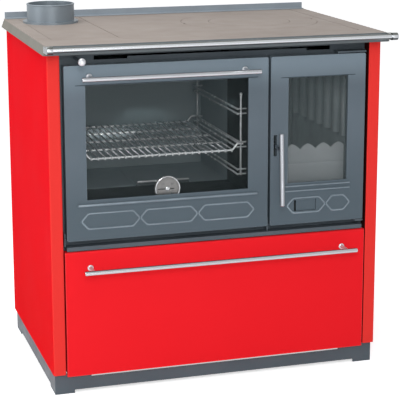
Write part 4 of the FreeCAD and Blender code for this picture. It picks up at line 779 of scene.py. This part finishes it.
def makeLedges():
    # nosing: a round wire with domed ends along the front of each ledge
    y = front - ledges["reach"]
    for name, body in (("ovenLedge", "oven_door"), ("fireLedges", "fire_door")):
        grids = []
        for left, right, z, radius in ledges[name]:
            path = np.array([(left + radius, y, z), (right - radius, y, z)])
            grids.append((wireGrid(path, radius, (0, 1, 0), ledges["around"]), "tube"))
        # the nosings take the lighter cast tone: a painted highlight
        putPiece(name, grids, "highlit_cast", body, (), ledges["sharp"])


# dark lines along the windows' upper edges, a painted shadow of a groove, as (piece, body, left, right, low,
# high)
grooveShadowLines = {"rows": (("ovenGrooveShadow", "oven_door", -345, 96, 742.3, 743.9),
                       ("fireGrooveShadow", "fire_door", 154, 345, 737.3, 738.9)), "rise": 0.2}


def makeGrooveShadows():
    # thin flat dark bars, a painted shadow, as far proud of the door's face as sunk in it
    rise = np.array((0, grooveShadowLines["rise"], 0))
    for name, body, left, right, low, high in grooveShadowLines["rows"]:
        corners = np.array([(left, front, low), (right, front, low),
                            (right, front, high), (left, front, high)])
        putPiece(name, [(np.stack((corners - rise, corners + rise)), "tube")], "line_paint", body)


# door seals: flat braided rope in the liner, all round each mouth, as (piece, node, body)
seals = {"rows": (("ovenSeal", "oven_door_seal", "oven_door"), ("fireSeal", "fire_door_seal", "fire_door")),
         "width": 10.0, "corner": 14.0, "cornerSteps": 10, "step": 1.6, "around": 18, "strands": 3,
         "lay": 11.0, "braid": 0.13, "sharp": 70}


def makeSeals():
    for name, node, body in seals["rows"]:
        low, high = nodeSpan(node)
        half, y, thick = seals["width"] / 2, (low[1] + high[1]) / 2, (high[1] - low[1]) / 2
        x, z = (low[0] + half, high[0] - half), (low[2] + half, high[2] - half)
        corners = [(x[0], y, z[0]), (x[1], y, z[0]), (x[1], y, z[1]), (x[0], y, z[1])]
        loop = cornerPath(corners, seals["corner"], seals["cornerSteps"], True)
        # the loop at even steps, so that the braid keeps its lay
        closed = np.vstack((loop, loop[:1]))
        away = np.concatenate(((0,), np.cumsum(np.linalg.norm(np.diff(closed, axis=0), axis=1))))
        along = np.linspace(0, away[-1], int(away[-1] / seals["step"]), endpoint=False)
        path = np.stack([np.interp(along, away, closed[:, axis]) for axis in range(3)], -1)
        run = unit(np.roll(path, -1, 0) - np.roll(path, 1, 0))
        side = np.cross(run, (0, 1, 0))
        # braid: two sets of strands that wind opposite ways round an ellipse, the outer one on top
        angle = circle(seals["around"])[None, :]
        strand = seals["strands"] * angle
        twist = 2 * np.pi * round(away[-1] / seals["lay"]) * (along / away[-1])[:, None]
        swell = 1 + seals["braid"] * (np.maximum(np.cos(strand + twist), np.cos(strand - twist)) - 1)
        across = (half * swell * np.cos(angle))[..., None] * side[:, None]
        out = (thick * swell * np.sin(angle))[..., None] * np.array((0, 1, 0))
        putPiece(name, [(path[:, None] + across + out, "ring")], "rope", body, [node], seals["sharp"])


# thermometer on the CAD case, in millimetres and degrees: what its pieces share, then each piece
dial = {"centre": (-124.5, -224.3, 484.5), "faceY": -223.3, "sweep": (45, -225), "rise": 0.12}
dialBezel = {"radius": 31.0, "inner": 28.0, "overlap": 0.25, "sink": 0.7, "roll": 1.5, "foot": 0.9,
             "steps": 10, "around": 64}


def makeBezel():
    # bezel: half an ellipse, turned about the dial's axis, that rolls over the case's edge
    turn = np.linspace(0, np.pi, dialBezel["steps"])
    middle = (dialBezel["radius"] + dialBezel["inner"]) / 2
    half = (dialBezel["radius"] - dialBezel["inner"]) / 2 + dialBezel["overlap"]
    foot = dialBezel["foot"]
    roll = np.stack((dialBezel["sink"] - np.sin(turn) * dialBezel["roll"], middle + np.cos(turn) * half), -1)
    section = np.vstack((roll, [(foot, middle - half), (foot, middle + half)]))
    grid = turnedGrid(section, dial["centre"], (0, 1, 0), dialBezel["around"])
    putPiece("dialBezel", [(grid, "ring")], "chrome_wire", "oven_door")


dialScale = {"ticks": 31, "tickIn": 23.5, "tickOut": 26.8, "tickHalf": 0.3, "longIn": 21.5, "every": 5}


def makeScale():
    # scale: thin bars along the radius at even angles, longer at every fifth
    ticks, longIn, shortIn = dialScale["ticks"], dialScale["longIn"], dialScale["tickIn"]
    turn = np.radians(np.linspace(*dial["sweep"], ticks))[:, None]
    inner = np.where(np.arange(ticks) % dialScale["every"] == 0, longIn, shortIn)[:, None]
    outer = np.full_like(inner, dialScale["tickOut"])
    reach = np.concatenate((inner, inner, outer, outer), 1)
    half = np.array((-1, 1, 1, -1)) * dialScale["tickHalf"]
    x = dial["centre"][0] - (np.cos(turn) * reach - np.sin(turn) * half)
    z = dial["centre"][2] - (np.sin(turn) * reach + np.cos(turn) * half)
    foot = np.full_like(x, dial["faceY"])
    grids = np.stack((np.stack((x, foot, z), -1), np.stack((x, foot - dial["rise"], z), -1)), 1)
    putPiece("dialScale", [(grid, "tube") for grid in grids], "needle_paint", "oven_door")


needleHub = {"lift": 1.3, "profile": ((-0.4, 0), (-0.35, 1.6), (-0.15, 3.4), (0.1, 4.8), (0.5, 5.4),
                                      (0.75, 5.4), (0.75, 0))}


def makeHub():
    # hub: a low dome turned about the needle's pivot
    spot = (dial["centre"][0], dial["faceY"] - needleHub["lift"], dial["centre"][2])
    grid = turnedGrid(needleHub["profile"], spot, (0, 1, 0))
    putPiece("needleHub", [(grid, "turned")], "chrome_wire", "needle")


dialNumbers = {"texts": ("0", "100", "200", "300"), "size": 5.4, "reach": 16.4}


def makeNumbers():
    # plain numbers round the scale: text turned to a mesh, then stood upright on the dial's face
    points, faces, start = [], [], 0
    angles = np.radians(np.linspace(*dial["sweep"], len(dialNumbers["texts"])))
    for text, angle in zip(dialNumbers["texts"], angles):
        curve = bpy.data.curves.new("dialNumber", "FONT")
        curve.body, curve.size, curve.extrude = text, dialNumbers["size"], dial["rise"]
        curve.align_x, curve.align_y = "CENTER", "CENTER"
        holder = bpy.data.objects.new("dialNumber", curve)
        flat = bpy.data.meshes.new_from_object(holder)
        flatPoints = np.zeros(len(flat.vertices) * 3)
        flat.vertices.foreach_get("co", flatPoints)
        x, y, z = flatPoints.reshape(-1, 3).T
        spot = (dial["centre"][0] - math.cos(angle) * dialNumbers["reach"], dial["faceY"],
                dial["centre"][2] - math.sin(angle) * dialNumbers["reach"])
        points.append(np.stack((x, -z, y), -1) + spot)
        corners, counts = np.zeros(len(flat.loops), np.int32), np.zeros(len(flat.polygons), np.int32)
        flat.loops.foreach_get("vertex_index", corners)
        flat.polygons.foreach_get("loop_total", counts)
        faces += [face.tolist() for face in np.split(corners + start, np.cumsum(counts)[:-1])]
        start += len(x)
        bpy.data.objects.remove(holder)
        bpy.data.curves.remove(curve)
        bpy.data.meshes.remove(flat)
    finishMesh("dialNumbers", np.concatenate(points), faces, "needle_paint", "oven_door")


# rolled lip of the flue spigot: the flange is the step from the collar's foot in to the spigot
flueLip = {"flange": 10.0, "inset": 1.2, "drop": 1.6, "roll": 2.2, "steps": 14, "around": 72}


def makeLip():
    # lip: a circle turned about the spigot's axis, along its upper edge
    low, high = nodeSpan("flue_collar")
    middle = (low + high) / 2
    turn = circle(flueLip["steps"])
    radius = (high[0] - low[0]) / 2 - flueLip["flange"] - flueLip["inset"]
    section = np.stack((high[2] - flueLip["drop"] + np.sin(turn) * flueLip["roll"],
                        radius + np.cos(turn) * flueLip["roll"]), -1)
    grid = turnedGrid(section, (middle[0], middle[1], 0), (0, 0, 1), flueLip["around"])
    putPiece("flueLip", [(grid, "ring")], "collar_paint", "stove")


# bright front edge of the oven floor's cover
coverEdge = {"x": (-137, -4), "y": 9.5, "z": 450, "radius": 2.6}


def makeCoverEdge():
    # a straight round wire with domed ends
    path = np.array([(x, coverEdge["y"], coverEdge["z"]) for x in coverEdge["x"]])
    grid = wireGrid(path, coverEdge["radius"], (0, 1, 0))
    putPiece("floorCoverEdge", [(grid, "tube")], "rack_wire", "stove")


# screws of the back: the washer's and the head's profile are (distance, radius)
backScrews = {"x": 398, "y": 307.5, "z": (97.7, 323.7, 557.4, 783.3), "sides": 6,
              "washer": ((-0.4, 0), (-0.4, 5.6), (0.5, 5.6), (0.8, 5.1), (0.8, 0)),
              "head": ((0.6, 0), (0.6, 4.0), (1.7, 4.0), (2.0, 3.4), (2.0, 0))}


def makeScrews():
    # hexagon heads, turned in six steps, on round washers
    grids = []
    for x in (-backScrews["x"], backScrews["x"]):
        for z in backScrews["z"]:
            spot = (x, backScrews["y"], z)
            grids.append((turnedGrid(backScrews["washer"], spot, (0, 1, 0)), "turned"))
            grids.append((turnedGrid(backScrews["head"], spot, (0, 1, 0), backScrews["sides"]), "turned"))
    putPiece("backScrews", grids, "bright_steel", "stove", ["back_panel_screws"])


for step in (placeCamera, lightStudio, layFloor, dressNodes, makeBars, makeFireBar, makeDamperBall, makeRack,
             makeLadders, makeGuard, makeChains, makeLedges, makeGrooveShadows, makeSeals, makeBezel, makeScale,
             makeHub, makeNumbers, makeLip, makeCoverEdge, makeScrews):
    step()
    print("done:", step.__name__)
